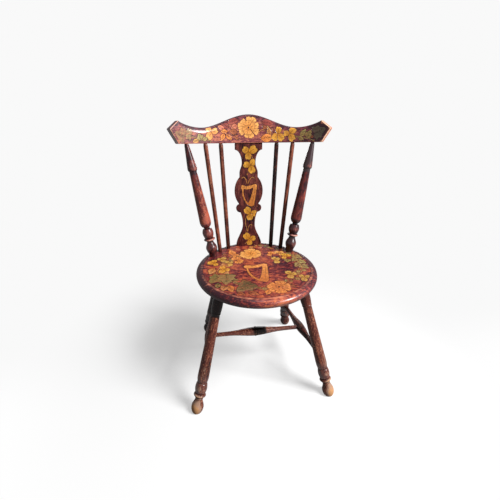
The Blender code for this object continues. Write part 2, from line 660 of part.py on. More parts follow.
def make_splat(seat, crest):
    low, high = -SEAT_SOCKET_DEPTH, BACK_SPAN + CREST_SOCKET_DEPTH
    foot, head = CLEARANCE, BACK_SPAN - CLEARANCE
    body = [(half, min(max(height, foot), head)) for half, height in splat_half_outline()]
    outline = [(SPLAT_TONGUE_HALF, low), (SPLAT_TONGUE_HALF, foot), *body,
               (SPLAT_TONGUE_HALF, head), (SPLAT_TONGUE_HALF, high)]
    slab("splat", outline, SPLAT_THICKNESS / 2, BOARD_WOOD)
    half, half_thickness = SPLAT_TONGUE_HALF + CLEARANCE, SPLAT_THICKNESS / 2 + CLEARANCE
    foot_mortise = [(half, low - CLEARANCE), (half, SOCKET_MOUTH)]
    cut(seat, slab("mortise in seat", foot_mortise, half_thickness, None))
    head_mortise = [(half, BACK_SPAN - SOCKET_MOUTH), (half, high + CLEARANCE)]
    cut(crest, slab("mortise in crest_rail", head_mortise, half_thickness, None))


seat = make_seat()
legs = {(end, side_name): make_leg(end, side_name, seat) for end in ("front", "rear") for side_name in SIDES}
make_stretchers(legs)
crest = make_crest()
make_sticks(seat, crest)
make_splat(seat, crest)
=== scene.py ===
import bpy
import bmesh
from math import atan2, cos, hypot, pi, radians, sin, sqrt, tan
from mathutils import Matrix, Vector, noise
from mathutils.geometry import delaunay_2d_cdt


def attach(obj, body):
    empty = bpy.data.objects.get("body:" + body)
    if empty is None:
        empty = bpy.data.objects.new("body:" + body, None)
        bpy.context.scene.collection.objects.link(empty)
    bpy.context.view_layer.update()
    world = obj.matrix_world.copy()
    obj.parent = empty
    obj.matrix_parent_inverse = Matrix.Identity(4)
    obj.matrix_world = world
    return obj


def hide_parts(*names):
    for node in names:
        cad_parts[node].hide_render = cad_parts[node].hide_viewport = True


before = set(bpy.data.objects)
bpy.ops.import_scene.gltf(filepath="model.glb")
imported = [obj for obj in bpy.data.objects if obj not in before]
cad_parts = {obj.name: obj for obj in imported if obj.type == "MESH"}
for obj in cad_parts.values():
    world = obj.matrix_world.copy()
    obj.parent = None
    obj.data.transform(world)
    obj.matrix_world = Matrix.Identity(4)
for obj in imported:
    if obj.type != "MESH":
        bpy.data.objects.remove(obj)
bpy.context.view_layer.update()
scene = bpy.context.scene
print("frame loaded:", len(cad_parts), "nodes")


def clamp(value):
    return max(0.0, min(1.0, value))


def climb(value, start, end):
    # 0 up to the start, 1 from the end on
    return clamp((value - start) / (end - start))


def mix(first, second, share):
    return first + (second - first) * share


def parts(steps, first=1):
    return [step / steps for step in range(first, steps + 1)]


def none(*spot):
    return 0.0


def ink(code):
    # hex code to linear colour
    shares = [int(code[at:at + 2], 16) / 255 for at in (0, 2, 4)]
    linear = [share / 12.92 if share < 0.04045 else ((share + 0.055) / 1.055) ** 2.4 for share in shares]
    return (*linear, 1.0)


# noise of the finishes: scale across, across and along the grain, then detail, roughness and distortion
clouds = {"streaks": ((170, 170, 12), 7, 0.65, 0.3), "bands": ((26, 26, 8), 5, 0.62, 0.8),
          "mottle": ((85, 85, 45), 4, 0.6, 0), "pores": ((520, 520, 26), 3, 0.5, 0),
          "rubbing": ((230, 230, 70), 5, 0.6, 0), "rubPatches": ((45, 45, 16), 3, 0.55, 0),
          "dashes": ((520, 520, 210), 3, 0.6, 0), "dashPatches": ((30, 30, 16), 2, 0.55, 0),
          "paintWear": ((300, 300, 150), 5, 0.7, 0), "paintDepth": ((170, 170, 110), 5, 0.65, 0),
          "heat": ((300, 300, 300), 2, 0.55, 0), "ripple": ((60, 60, 24), 2, 0.55, 0),
          "crazing": ((420, 420, 180), 4, 0.6, 0), "dull": ((35, 35, 18), 4, 0.6, 0),
          "rust": ((900, 900, 900), 4, 0.65, 0)}
# where an effect begins and where it is full
levels = {"mid": (0.40, 0.50), "light": (0.50, 0.60), "pores": (0.56, 0.68), "rubbed": (0.25, 0.55),
          "bare": (0.55, 0.85), "flecks": (0.0, 0.10), "paint": (0.32, 0.54), "dull": (0.35, 0.70),
          "slant": (0.35, 0.85), "rust": (0.42, 0.62)}


# short ways to add nodes to one tree
class Nodes:
    def __init__(self, tree):
        self.tree = tree

    def put(self, kind, settings=None, sockets=None):
        node = self.tree.nodes.new(kind)
        for name, value in (settings or {}).items():
            setattr(node, name, value)
        for name, value in (sockets or {}).items():
            if isinstance(value, bpy.types.NodeSocket):
                self.link(value, node.inputs[name])
            else:
                node.inputs[name].default_value = value
        return node

    def link(self, value, socket):
        self.tree.links.new(value, socket)

    def use(self, group, place, sockets):
        return self.put("ShaderNodeGroup", {"node_tree": group}, {"Grain place": place, **sockets}).outputs

    def calc(self, operation, *values):
        return self.put("ShaderNodeMath", {"operation": operation}, dict(enumerate(values))).outputs[0]

    def plus(self, first, second):
        return self.calc("ADD", first, second)

    def minus(self, first, second):
        return self.calc("SUBTRACT", first, second)

    def times(self, first, second):
        return self.calc("MULTIPLY", first, second)

    def scaled(self, value, factor, offset):
        return self.calc("MULTIPLY_ADD", value, factor, offset)

    def blend(self, factor, first, second, mode="MIX"):
        settings = {"data_type": "RGBA", "blend_type": mode}
        return self.put("ShaderNodeMix", settings, {0: factor, 6: first, 7: second}).outputs[2]

    def ramp(self, value, low, high, toLow=0.0, toHigh=1.0):
        sockets = {0: value, 1: low, 2: high, 3: toLow, 4: toHigh}
        return self.put("ShaderNodeMapRange", {"interpolation_type": "SMOOTHSTEP"}, sockets).outputs[0]

    def level(self, value, name):
        return self.ramp(value, *levels[name])

    def cloud(self, place, name):
        stretch, detail, roughness, distortion = clouds[name]
        wide = self.put("ShaderNodeVectorMath", {"operation": "MULTIPLY"}, {0: place, 1: stretch}).outputs[0]
        return self.put("ShaderNodeTexNoise", None, {
            "Vector": wide, "Scale": 1.0, "Detail": detail, "Roughness": roughness,
            "Distortion": distortion}).outputs["Fac"]


# sockets that don't hold a number
socketKinds = {"Grain place": "Vector", "Profile": "Geometry", "Turning": "Geometry", "Sides": "Int",
               "Finish": "Material"}
socketKinds.update(dict.fromkeys(("Dark", "Mid", "Light", "Ground", "Paint", "Stain", "Colour"), "Color"))


def newGroup(name, kind, inputs, outputs):
    tree = bpy.data.node_groups.new(name, kind)
    keys = {}
    for way, sockets in (("INPUT", inputs), ("OUTPUT", outputs)):
        for socket in sockets:
            form = "NodeSocket" + socketKinds.get(socket, "Float")
            keys[socket] = tree.interface.new_socket(socket, in_out=way, socket_type=form).identifier
    return Nodes(tree), tree.nodes.new("NodeGroupInput").outputs, tree.nodes.new("NodeGroupOutput").inputs, keys


def makeGroup(name, build, inputs, outputs):
    n, given, out, _ = newGroup(name, "ShaderNodeTree", ["Grain place"] + inputs.split(), outputs.split())
    for socket, value in build(n, given, given["Grain place"]).items():
        n.link(value, out[socket])
    return n.tree


def newMaterial(name):
    material = bpy.data.materials.new(name)
    material.use_nodes = True
    n = Nodes(material.node_tree)
    return material, n, n.tree.nodes["Principled BSDF"]


# stain with long streaks along the grain, which is the Z of the grain place
def stain(n, given, place):
    tone = n.scaled(n.cloud(place, "streaks"), 0.36, n.times(n.cloud(place, "bands"), 0.32))
    mottle = n.minus(n.cloud(place, "mottle"), 0.5)
    tone = n.plus(n.scaled(mottle, given["Blotches"], tone), 0.16)
    tone = n.plus(tone, n.scaled(given["Lightness"], 0.4, -0.2))
    colour = n.blend(n.level(tone, "mid"), given["Dark"], given["Mid"])
    colour = n.blend(n.level(tone, "light"), colour, given["Light"])
    pores = n.level(n.cloud(place, "pores"), "pores")
    return {"Stain": n.blend(n.times(pores, 0.5), colour, given["Dark"]), "Pores": pores}


# where hands and shoes have rubbed through: first to light stain, then to bare wood
def rub(n, given, place):
    spread = n.scaled(n.cloud(place, "rubbing"), 0.7, n.scaled(n.cloud(place, "rubPatches"), 0.5, -0.6))
    worn = n.plus(given["Worn"], spread)
    return {"Rubbed": n.level(worn, "rubbed"), "Bare": n.level(worn, "bare")}


# short light dashes where the finish has gone from the ridges of the grain
def fleck(n, given, place):
    ridge = n.scaled(n.cloud(place, "dashPatches"), 0.3, n.minus(n.cloud(place, "dashes"), 0.15))
    bar = n.minus(0.72, n.times(given["Amount"], 0.3))
    return {"Flecks": n.level(n.minus(ridge, bar), "flecks")}


# stain colours laid inside the burnt lines; wear thins them and can fade the lines
def paint(n, given, place):
    left = n.minus(n.cloud(place, "paintWear"), n.times(given["Thin"], 0.2))
    whole = n.scaled(given["Thin"], -0.5, 0.6)
    spread = n.times(n.minus(0.96, whole), n.level(left, "paint"))
    laid = n.times(given["Cover"], n.plus(whole, spread))
    depth = n.times(n.scaled(n.cloud(place, "paintDepth"), 2.1, -0.05), given["Strength"])
    painted = n.blend(laid, given["Ground"], n.blend(1.0, given["Paint"], depth, "MULTIPLY"))
    heat = n.scaled(n.cloud(place, "heat"), 0.5, 0.6)
    kept = n.minus(1.0, n.times(given["Thin"], given["Fade"]))
    burnt = n.times(n.times(given["Burn"], heat), kept)
    return {"Colour": n.blend(burnt, painted, ink("1c0d09"))}


# slow ripple and fine scratches of old varnish
def varnish(n, given, place):
    height = n.scaled(n.cloud(place, "ripple"), 0.6, n.times(n.cloud(place, "crazing"), 0.25))
    height = n.minus(height, n.times(given["Pores"], 0.25))
    return {"Height": height, "Dull": n.level(n.cloud(place, "dull"), "dull")}


stainGroup = makeGroup("stained grain", stain, "Dark Mid Light Lightness Blotches", "Stain Pores")
rubGroup = makeGroup("rubbed wear", rub, "Worn", "Rubbed Bare")
fleckGroup = makeGroup("grain flecks", fleck, "Amount", "Flecks")
paintGroup = makeGroup("pokerwork colours", paint, "Ground Paint Cover Burn Thin Strength Fade", "Colour")
varnishGroup = makeGroup("old varnish", varnish, "Pores", "Height Dull")


def makeWood(name, look):
    material, n, shader = newMaterial(name)
    hues = {key: ink(look[key]) for key in ("dark", "mid", "light", "fleck", "rubbed", "bare", "grimeAndShade")}

    def read(attribute, output="Fac"):
        return n.put("ShaderNodeAttribute", {"attribute_name": attribute}).outputs[output]

    def grain(scale):
        return n.put("ShaderNodeVectorMath", {"operation": "SCALE"}, {0: place, "Scale": scale}).outputs[0]

    place, tone = read("grainPlace", "Vector"), read("tone")
    stained = n.use(stainGroup, grain(look["grainScale"]), {
        "Dark": hues["dark"], "Mid": hues["mid"], "Light": hues["light"],
        "Lightness": n.plus(tone, look["lightness"]), "Blotches": look["blotches"]})
    amount = n.scaled(tone, 1.1, look["flecks"])
    flecks = n.use(fleckGroup, grain(look["fleckScale"]), {"Amount": amount})["Flecks"]
    colour = n.blend(flecks, stained["Stain"], hues["fleck"])
    if "strength" in look:
        colour = n.use(paintGroup, place, {
            "Ground": colour, "Paint": read("paint", "Color"), "Cover": read("cover"), "Burn": read("burn"),
            "Thin": read("thin"), "Strength": look["strength"], "Fade": look["fade"]})["Colour"]
    worn = n.use(rubGroup, place, {"Worn": read("worn")})
    # the grime colour darkens hollows, and on the seat paints shade under the rim and a shadow behind the sticks
    for share, hue in ((worn["Rubbed"], "rubbed"), (worn["Bare"], "bare"), (read("recessAndShade"), "grimeAndShade")):
        colour = n.blend(share, colour, hues[hue])
    n.link(colour, shader.inputs["Base Color"])
    old = n.use(varnishGroup, place, {"Pores": stained["Pores"]})
    dull = n.scaled(old["Dull"], look["dullness"], look["roughness"])
    n.link(n.scaled(worn["Bare"], 0.25, dull), shader.inputs["Roughness"])
    # the gloss of the varnish breaks up at a low angle
    slant = n.put("ShaderNodeLayerWeight", None, {"Blend": 0.5}).outputs["Facing"]
    gloss = n.ramp(slant, *levels["slant"], look["coat"], look["coat"] * 0.1)
    gloss = n.times(gloss, n.plus(read("polish"), 1.0))
    n.link(n.times(n.minus(1.0, worn["Bare"]), gloss), shader.inputs["Coat Weight"])
    shader.inputs["Coat Roughness"].default_value = look["coatRoughness"]
    shader.inputs["Specular IOR Level"].default_value = look["specular"]
    bump = n.put("ShaderNodeBump", None, {"Strength": 0.35, "Distance": look["bump"], "Height": old["Height"]})
    n.link(bump.outputs["Normal"], shader.inputs["Normal"])
    return material


plainLook = {"lightness": 0.5, "roughness": 0.42, "dullness": 0.12, "coatRoughness": 0.24, "specular": 0.05}
turnedLook = dict(plainLook, dark="160909", mid="50251f", light="844a38", lightness=0.51, blotches=0.16,
                  flecks=0.53, grainScale=1.0, fleckScale=0.85, fleck="b07256", rubbed="a2806c", bare="bd8c62",
                  grimeAndShade="0a0608", coat=0.2, bump=0.0006)
postLook = dict(turnedLook, dark="2a1016", mid="602826", light="a04e38", blotches=0.4, flecks=0.32,
                fleck="bc7458", rubbed="9a5c52", bare="dab6a2", coat=0.26, coatRoughness=0.3)
spindleLook = dict(turnedLook, flecks=0.38, blotches=0.3, fleckScale=1.1, fleck="a06a50")
crestLook = dict(plainLook, dark="34151f", mid="6e343a", light="b06650", blotches=0.5, flecks=0.36,
                 grainScale=1.2, fleckScale=0.8, fleck="c08060", rubbed="b8745c", bare="e2be9e", grimeAndShade="120908",
                 roughness=0.5, coat=0.36, bump=0.0003, strength=0.96, fade=0.9)
splatLook = dict(crestLook, dark="1f0c12", mid="48201f", light="6e3830", coat=0.12, flecks=0.24, strength=0.84)
seatLook = dict(plainLook, dark="32121c", mid="762e2c", light="ae5836", blotches=0.62, flecks=0.36,
                grainScale=2.2, fleckScale=1.05, fleck="be8058", rubbed="b87058", bare="e6b690", grimeAndShade="120810",
                coat=0.14, coatRoughness=0.3, bump=0.0005, strength=0.92, fade=0.0)
turnedWood = makeWood("turned stain", turnedLook)
postWood = makeWood("post stain", postLook)
spindleWood = makeWood("spindle stain", spindleLook)
crestWood = makeWood("crest stain", crestLook)
splatWood = makeWood("splat stain", splatLook)
seatWood = makeWood("seat stain", seatLook)


def makeBradSteel():
    material, n, shader = newMaterial("brad steel")
    place = n.put("ShaderNodeTexCoord").outputs["Object"]
    rust = n.level(n.cloud(place, "rust"), "rust")
    n.link(n.blend(rust, ink("8c8a86"), ink("4a2c1c")), shader.inputs["Base Color"])
    n.link(n.scaled(rust, 0.4, 0.35), shader.inputs["Roughness"])
    n.link(n.scaled(rust, -0.8, 1.0), shader.inputs["Metallic"])
    return material


bradSteel = makeBradSteel()
print("finishes made")


def store(mesh, domain, columns):
    for name, values in columns.items():
        mesh.attributes.new(name, "FLOAT", domain).data.foreach_set("value", values)


def addPiece(name, mesh, node):
    piece = bpy.data.objects.new(name, mesh)
    scene.collection.objects.link(piece)
    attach(piece, "root")
    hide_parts(node)
    return piece


# turned pieces: a profile of (distance, radius, wear) along an axis, spun by a node tree
def makeTurningTree():
    n, given, out, keys = newGroup("turning", "GeometryNodeTree", ("Profile", "Sides", "Finish"), ("Turning",))
    axis = n.put("GeometryNodeMeshToCurve", None, {"Mesh": given["Profile"]})
    girth = n.put("GeometryNodeInputNamedAttribute", {"data_type": "FLOAT"}, {"Name": "girth"})
    circle = n.put("GeometryNodeCurvePrimitiveCircle", None, {"Resolution": given["Sides"], "Radius": 1.0})
    spun = n.put("GeometryNodeCurveToMesh", None, {
        "Curve": axis.outputs["Curve"], "Profile Curve": circle.outputs["Curve"],
        "Scale": girth.outputs["Attribute"], "Fill Caps": True})
    smooth = n.put("GeometryNodeSetShadeSmooth", None, {"Geometry": spun.outputs["Mesh"]})
    real = n.put("GeometryNodeRealizeInstances", None, {"Geometry": smooth.outputs["Geometry"]})
    sockets = {"Geometry": real.outputs["Geometry"], "Material": given["Finish"]}
    n.link(n.put("GeometryNodeSetMaterial", None, sockets).outputs["Geometry"], out["Turning"])
    return n.tree, keys


turningTree, turningKeys = makeTurningTree()
turning = dict(nearby=0.006, deep=0.006, shallow=0.25, sharp=radians(50), shift=(0.37, 0.19, 0.71),
               wearFull=1.25, wearShift=-0.05, wearLeast=0.05)
# how far along a run lies, how much of the radius is reached, and how much of the wear
runs = {"ease": lambda part: (part, (1 - cos(pi * part)) / 2, part),
        "shoulder": lambda part: (1 - cos(pi / 2 * part), sin(pi / 2 * part), sin(pi / 2 * part)),
        "taper": lambda part: (part, part, part)}


def run(profile, kind, length, radius, worn, steps):
    start, first, wornFirst = profile[-1]
    for part in parts(steps):
        ahead, swing, rubbed = runs[kind](part)
        profile.append((start + length * ahead, mix(first, radius, swing), mix(wornFirst, worn, rubbed)))


def bead(profile, length, crown, ends, last, worn, steps):
    start = profile[-1][0]
    for part in parts(steps):
        swell = sin(pi * part)
        profile.append((start + length * part, mix(ends, crown, swell), worn * swell))
    profile[-1] = (start + length, last, 0.0)


def recessOf(profile):
    # how far each point lies below its neighbours
    recessAndShade = []
    for here, radius, _ in profile:
        near = [other for place, other, _ in profile if abs(place - here) < turning["nearby"]]
        recessAndShade.append(clamp((max(near) - radius) / turning["deep"] - turning["shallow"]))
    return recessAndShade


def slantReach(radius, along, normal):
    upright = abs(along.normalized().dot(normal))
    return radius * sqrt(1 - upright * upright) / upright


def turnPiece(name, start, end, profile, finish, seed, sides=40, sole=False, favour=None,
              tone=none, polish=none):
    distances, girths, worn = (list(column) for column in zip(*profile))
    mesh = bpy.data.meshes.new(name + "Profile")
    edges = [(at, at + 1) for at in range(len(profile) - 1)]
    mesh.from_pydata([(0, 0, distance) for distance in distances], edges, [])
    store(mesh, "POINT", {"girth": girths, "worn": worn, "recessAndShade": recessOf(profile),
                          "tone": [tone(distance) for distance in distances],
                          "polish": [polish(distance) for distance in distances]})
    rough = bpy.data.objects.new(name + "Rough", mesh)
    scene.collection.objects.link(rough)
    modifier = rough.modifiers.new("turning", "NODES")
    modifier.node_group = turningTree
    modifier[turningKeys["Sides"]] = sides
    modifier[turningKeys["Finish"]] = finish
    bpy.context.view_layer.update()
    turned = bpy.data.meshes.new_from_object(rough.evaluated_get(bpy.context.evaluated_depsgraph_get()))
    bpy.data.objects.remove(rough)
    bpy.data.meshes.remove(mesh)

    grain = turned.attributes.new("grainPlace", "FLOAT_VECTOR", "POINT")
    shift = Vector(turning["shift"]) * seed
    for vertex, item in zip(turned.vertices, grain.data):
        item.vector = vertex.co + shift
    turned.transform(Matrix.Translation(start) @ (end - start).to_track_quat("Z", "Y").to_matrix().to_4x4())
    if favour:
        # wear falls mostly on the side that meets hands and shoes
        way = Vector(favour).normalized()
        for vertex, item in zip(turned.vertices, turned.attributes["worn"].data):
            share = turning["wearFull"] * vertex.normal.dot(way) + turning["wearShift"]
            item.value *= max(turning["wearLeast"], min(1.0, share))
    if sole:
        cutLevel(turned)
    turned.set_sharp_from_angle(angle=turning["sharp"])
    node = "".join("_" + letter.lower() if letter.isupper() else letter for letter in name)
    return addPiece(name, turned, node)


def cutLevel(mesh):
    shape = bmesh.new()
    shape.from_mesh(mesh)
    everything = shape.verts[:] + shape.edges[:] + shape.faces[:]
    bmesh.ops.bisect_plane(shape, geom=everything, plane_co=(0, 0, 0), plane_no=(0, 0, 1), clear_inner=True)
    bmesh.ops.holes_fill(shape, edges=[edge for edge in shape.edges if edge.is_boundary], sides=0)
    bmesh.ops.recalc_face_normals(shape, faces=shape.faces)
    shape.to_mesh(mesh)
    shape.free()


up = Vector((0, 0, 1))
sidesOf = {"Left": -1, "Right": 1}


def endsOf(settings, first, last, side):
    return [Vector((settings[key][0] * side, settings[key][1], settings[key][2])) for key in (first, last)]


# legs
leg = dict(frontFoot=(0.22925, -0.20428, 0), frontHead=(0.13254, -0.09315, 0.385), frontUse=1.0, frontSeed=3,
           rearFoot=(0.17402, 0.19560, 0), rearHead=(0.11373, 0.07273, 0.385), rearUse=0.35, rearSeed=8,
           bulb=0.0199, bulbBelow=0.019, bulbRound=0.029, bulbAbove=0.0295, neck=0.0122, bead=0.0140,
           beadLength=0.0055, ring=0.0199, ringLength=0.016, ringGroove=0.0166, barrel=0.0195,
           barrelLength=0.036, groove=0.0138, shoulderLength=0.023, shaft=0.0184, shaftTop=0.0144,
           capRing=0.0162, capRingLength=0.006, capGroove=0.0150, capLength=0.066, cap=0.0174, capTaper=0.030,
           tenon=0.0125, tenonIn=0.006,
           wear=dict(bulb=0.86, neck=0.3, bead=0.5, ring=0.72, barrel=0.38, shaft=0.3, shaftTop=0.12, capRing=0.2,
                     cap=0.15),
           barrelFrom=0.07, barrelTo=0.13, barrelPolish=2.0,
           # head tones are painted shade under the seat; the rear tones are partly painted shade
           headFrom=0.335, headShade=-0.22, headShadeSide=0.14, rearToneAndShade=-0.2, rearShadeSide=0.1)


def legProfile(axis, use):
    length, wear = axis.length, leg["wear"]
    tenonAt = length - slantReach(leg["tenon"], axis, up)
    profile = [(leg["bulbBelow"] - leg["bulbRound"] * cos(pi / 2 * part), leg["bulb"] * sin(pi / 2 * part),
                wear["bulb"] * use) for part in parts(12)]
    run(profile, "ease", leg["bulbAbove"], leg["neck"], wear["neck"] * use, 12)
    bead(profile, leg["beadLength"], leg["bead"], leg["neck"], leg["neck"], wear["bead"] * use, 8)
    bead(profile, leg["ringLength"], leg["ring"], leg["neck"], leg["ringGroove"], wear["ring"] * use, 12)
    bead(profile, leg["barrelLength"], leg["barrel"], leg["ringGroove"], leg["groove"],
         wear["barrel"] * use, 16)
    run(profile, "shoulder", leg["shoulderLength"], leg["shaft"], wear["shaft"], 8)
    capAt = length - leg["capLength"] - leg["capRingLength"]
    run(profile, "taper", capAt - profile[-1][0], leg["shaftTop"], wear["shaftTop"], 24)
    bead(profile, leg["capRingLength"], leg["capRing"], leg["shaftTop"], leg["capGroove"], wear["capRing"], 6)
    run(profile, "shoulder", tenonAt - leg["capTaper"] - profile[-1][0], leg["cap"], wear["cap"], 8)
    run(profile, "ease", leg["capTaper"], leg["tenon"], 0.0, 10)
    return profile + [(length + leg["tenonIn"], leg["tenon"], 0.0)]


def legPolish(distance):
    # the barrel above the foot has kept its varnish
    return leg["barrelPolish"] if leg["barrelFrom"] < distance < leg["barrelTo"] else 0.0


def legToneAndShade(distance, end, side):
    # painted shade: the head of a leg, just under the seat, is darker, most at the left where the seat's shadow
    # falls; the rear legs are darker all over, the rear left one most, partly as painted shade
    if distance > leg["headFrom"]:
        return leg["headShade"] + leg["headShadeSide"] * side
    return 0.0 if end == "front" else leg["rearToneAndShade"] + leg["rearShadeSide"] * side


for end in ("front", "rear"):
    for sideName, side in sidesOf.items():
        foot, head = endsOf(leg, end + "Foot", end + "Head", side)
        turnPiece("leg" + end.title() + sideName, foot, head, legProfile(head - foot, leg[end + "Use"]),
                  turnedWood, leg[end + "Seed"] + side, sole=True, favour=(0.05 + side * 0.55, -0.9, 0.3),
                  tone=lambda distance: legToneAndShade(distance, end, side), polish=legPolish)

# stretchers
stretcher = dict(sideStart=(0.19183, -0.16325, 0.15018), sideEnd=(0.15424, 0.15747, 0.12486),
                 crossStart=(0.17754, -0.00289, 0.13752), tenon=0.0080, tenonDepth=0.020, inside=0.006,
                 outside=0.002, neckLength=0.018, fullness=4.0, side=0.0155, cross=0.0165, ringLength=0.007,
                 ringRise=0.0012, ringCut=0.0006, sideTone=-0.12, sideSeed=11, crossSeed=14, sides=32,
                 neckWear=0.1, swellWear=0.15, ringWear=0.35,
                 # band tones: painted shadow of the front-right leg on the band, a painted sheen right of it
                 band=(0.174, 0.216), shadowAndSheenTones=(0.0, -0.4, 0.06), bandPolish=(1.6, 0.2, 4.0))


def stretcherProfile(axis, radius, ringed):
    length = axis.length
    thin, middle, depth = stretcher["tenon"], length / 2, stretcher["tenonDepth"]
    neckAt, neckWear, ringWear = depth + stretcher["neckLength"], stretcher["neckWear"], stretcher["ringWear"]
    half = [(depth - stretcher["inside"], thin, 0.0), (depth + stretcher["outside"], thin, 0.0),
            (neckAt, thin, neckWear)]
    for part in parts(20):
        swell = sin(pi / 2 * part) ** stretcher["fullness"]
        worn = neckWear + stretcher["swellWear"] * swell
        half.append((mix(neckAt, middle, part), mix(thin, radius, swell), worn))
    if ringed:
        ring, proud = stretcher["ringLength"] / 2, stretcher["ringRise"]
        half = [point for point in half if point[0] < middle - ring]
        half += [(middle - ring, radius, 0.2), (middle - ring * 0.85, radius - stretcher["ringCut"], 0.0),
                 (middle - ring * 0.6, radius + proud, ringWear), (middle, radius + proud * 1.1, ringWear)]
    return half + [(length - distance, size, worn) for distance, size, worn in reversed(half[:-1])]


def crossPart(distance):
    # left of a painted shadow band just right of the middle, where the front-right leg's shadow falls, on it, or
    # right of it
    return (distance > stretcher["band"][0]) + (distance > stretcher["band"][1])


for sideName, side in sidesOf.items():
    start, end = endsOf(stretcher, "sideStart", "sideEnd", side)
    turnPiece("sideStretcher" + sideName, start, end, stretcherProfile(end - start, stretcher["side"], False),
              turnedWood, stretcher["sideSeed"] + side, stretcher["sides"],
              tone=lambda distance: stretcher["sideTone"])
start, end = (endsOf(stretcher, "crossStart", "crossStart", side)[0] for side in sidesOf.values())
# painted shadow and sheen: darker where the front-right leg's shadow falls, lighter right of it
turnPiece("crossStretcher", start, end, stretcherProfile(end - start, stretcher["cross"], True), turnedWood,
          stretcher["crossSeed"], stretcher["sides"],
          tone=lambda distance: stretcher["shadowAndSheenTones"][crossPart(distance)],
          polish=lambda distance: stretcher["bandPolish"][crossPart(distance)])

# posts, spindles and the brads that pin the posts
crestLean = radians(8.46)
crestUp = Vector((0, sin(crestLean), cos(crestLean)))
sunk = 0.005
post = dict(foot=(0.13923, 0.09858, 0.413), head=(0.20785, 0.14532, 0.79330), seed=21, footRadius=0.0125,
            urn=0.0194, urnRise=0.030, urnFall=0.026, neck=0.0110, ring=0.0195, ringLength=0.013,
            ringGroove=0.0147, ball=0.019, ballLength=0.0335, collar=0.0102, collarLength=0.0045, groove=0.0078,
            shoulderLength=0.020, shaft=0.0194, shaftTop=0.0120, cone=0.0158, coneStep=0.009, coneLength=0.076,
            nose=0.0074, noseLength=0.004, tenon=0.0062,
            wear=dict(urn=0.3, neck=0.1, ring=0.74, ball=0.4, collar=0.3, shaft=0.3, shaftTop=0.05, cone=0.4),
            shaftAt=0.13, coneAt=0.295, favour=(0.4, -0.9, 0.3),
            sideTone=(-0.07, -0.10), footTone=-0.13, shaftTone=0.14, shaftFall=0.9, coneTone=-0.3,
            footPolish=1.2, shaftPolish=0.2, conePolish=(1.1, 0.9))


def postTone(distance, side):
    # urn, ball and cone are almost black, the long taper redder, the right post darker
    shade = post["sideTone"][0] + post["sideTone"][1] * side
    if distance < post["shaftAt"]:
        return post["footTone"] + shade
    if distance < post["coneAt"]:
        return post["shaftTone"] - post["shaftFall"] * (distance - post["shaftAt"]) + shade
    return post["coneTone"] + shade


def postPolish(distance, side):
    # the turned ends have kept more varnish than the taper between them
    if distance < post["shaftAt"]:
        return post["footPolish"]
    if distance < post["coneAt"]:
        return post["shaftPolish"]
    return post["conePolish"][0] + post["conePolish"][1] * side


def postProfile(axis):
    wear = post["wear"]
    footAt = sunk + slantReach(post["footRadius"], axis, up)
    headAt = sunk + axis.length - slantReach(post["tenon"], axis, crestUp)
    profile = [(0, post["footRadius"], 0.0), (footAt, post["footRadius"], 0.0)]
    run(profile, "ease", post["urnRise"], post["urn"], wear["urn"], 14)
    run(profile, "ease", post["urnFall"], post["neck"], wear["neck"], 10)
    bead(profile, post["ringLength"], post["ring"], post["neck"], post["ringGroove"], wear["ring"], 12)
    bead(profile, post["ballLength"], post["ball"], post["ringGroove"], post["groove"], wear["ball"], 18)
    bead(profile, post["collarLength"], post["collar"], post["groove"], post["groove"], wear["collar"], 6)
    run(profile, "shoulder", post["shoulderLength"], post["shaft"], wear["shaft"], 10)
    taper = headAt - post["coneLength"] - post["coneStep"] - profile[-1][0]
    run(profile, "taper", taper, post["shaftTop"], wear["shaftTop"], 24)
    run(profile, "shoulder", post["coneStep"], post["cone"], wear["cone"], 8)
    run(profile, "taper", headAt - post["noseLength"] - profile[-1][0], post["nose"], 0.0, 12)
    return profile + [(headAt, post["tenon"], 0.0), (headAt + sunk, post["tenon"], 0.0)]


spindle = dict(outerFoot=(0.11293, 0.12787, 0.413), outerHead=(0.14758, 0.17476, 0.78892), outerSeed=31,
               innerFoot=(0.08062, 0.15035, 0.413), innerHead=(0.09568, 0.19107, 0.78650), innerSeed=41,
               radius=0.0074, tenon=0.0062, taper=0.008, wear=0.05, sides=24,
               tones={"outerLeft": 0.12, "innerLeft": 0.06, "outerRight": 0.1, "innerRight": -0.2}, fade=0.16,
               footTone=-0.22, footSide=-0.1)


def spindleProfile(axis):
    thin = spindle["tenon"]
    footAt = sunk + slantReach(thin, axis, up)
    headAt = sunk + axis.length - slantReach(thin, axis, crestUp)
    profile = [(0, thin, 0.0), (footAt, thin, 0.0)]
    run(profile, "ease", spindle["taper"], spindle["radius"], spindle["wear"], 5)
    run(profile, "taper", headAt - spindle["taper"] - profile[-1][0], spindle["radius"], spindle["wear"], 20)
    run(profile, "ease", spindle["taper"], thin, 0.0, 5)
    return profile + [(headAt + sunk, thin, 0.0)]


def spindleTone(distance, name, side):
    # darker towards the seat, most at the right
    foot = (spindle["footTone"] + spindle["footSide"] * side) * max(0.0, 1 - distance / spindle["fade"])
    return spindle["tones"][name] + foot


brad = dict(point=(0.20648, 0.13995, 0.80724), head=(0.21536, 0.15429, 0.80511), radius=0.0013,
            headRadius=0.0019, proud=0.0005, start=0.002, neck=0.0012, brim=0.0006, seed=51, sides=16)


def bradProfile(axis):
    brim, dome = axis.length - brad["brim"], brad["proud"] + brad["brim"]
    profile = [(brad["start"], brad["radius"], 0.0), (axis.length - brad["neck"], brad["radius"], 0.0)]
    return profile + [(brim + dome * sin(pi / 2 * part), brad["headRadius"] * cos(pi / 2 * part), 0.0)
                      for part in parts(6, 0)[:-1]]


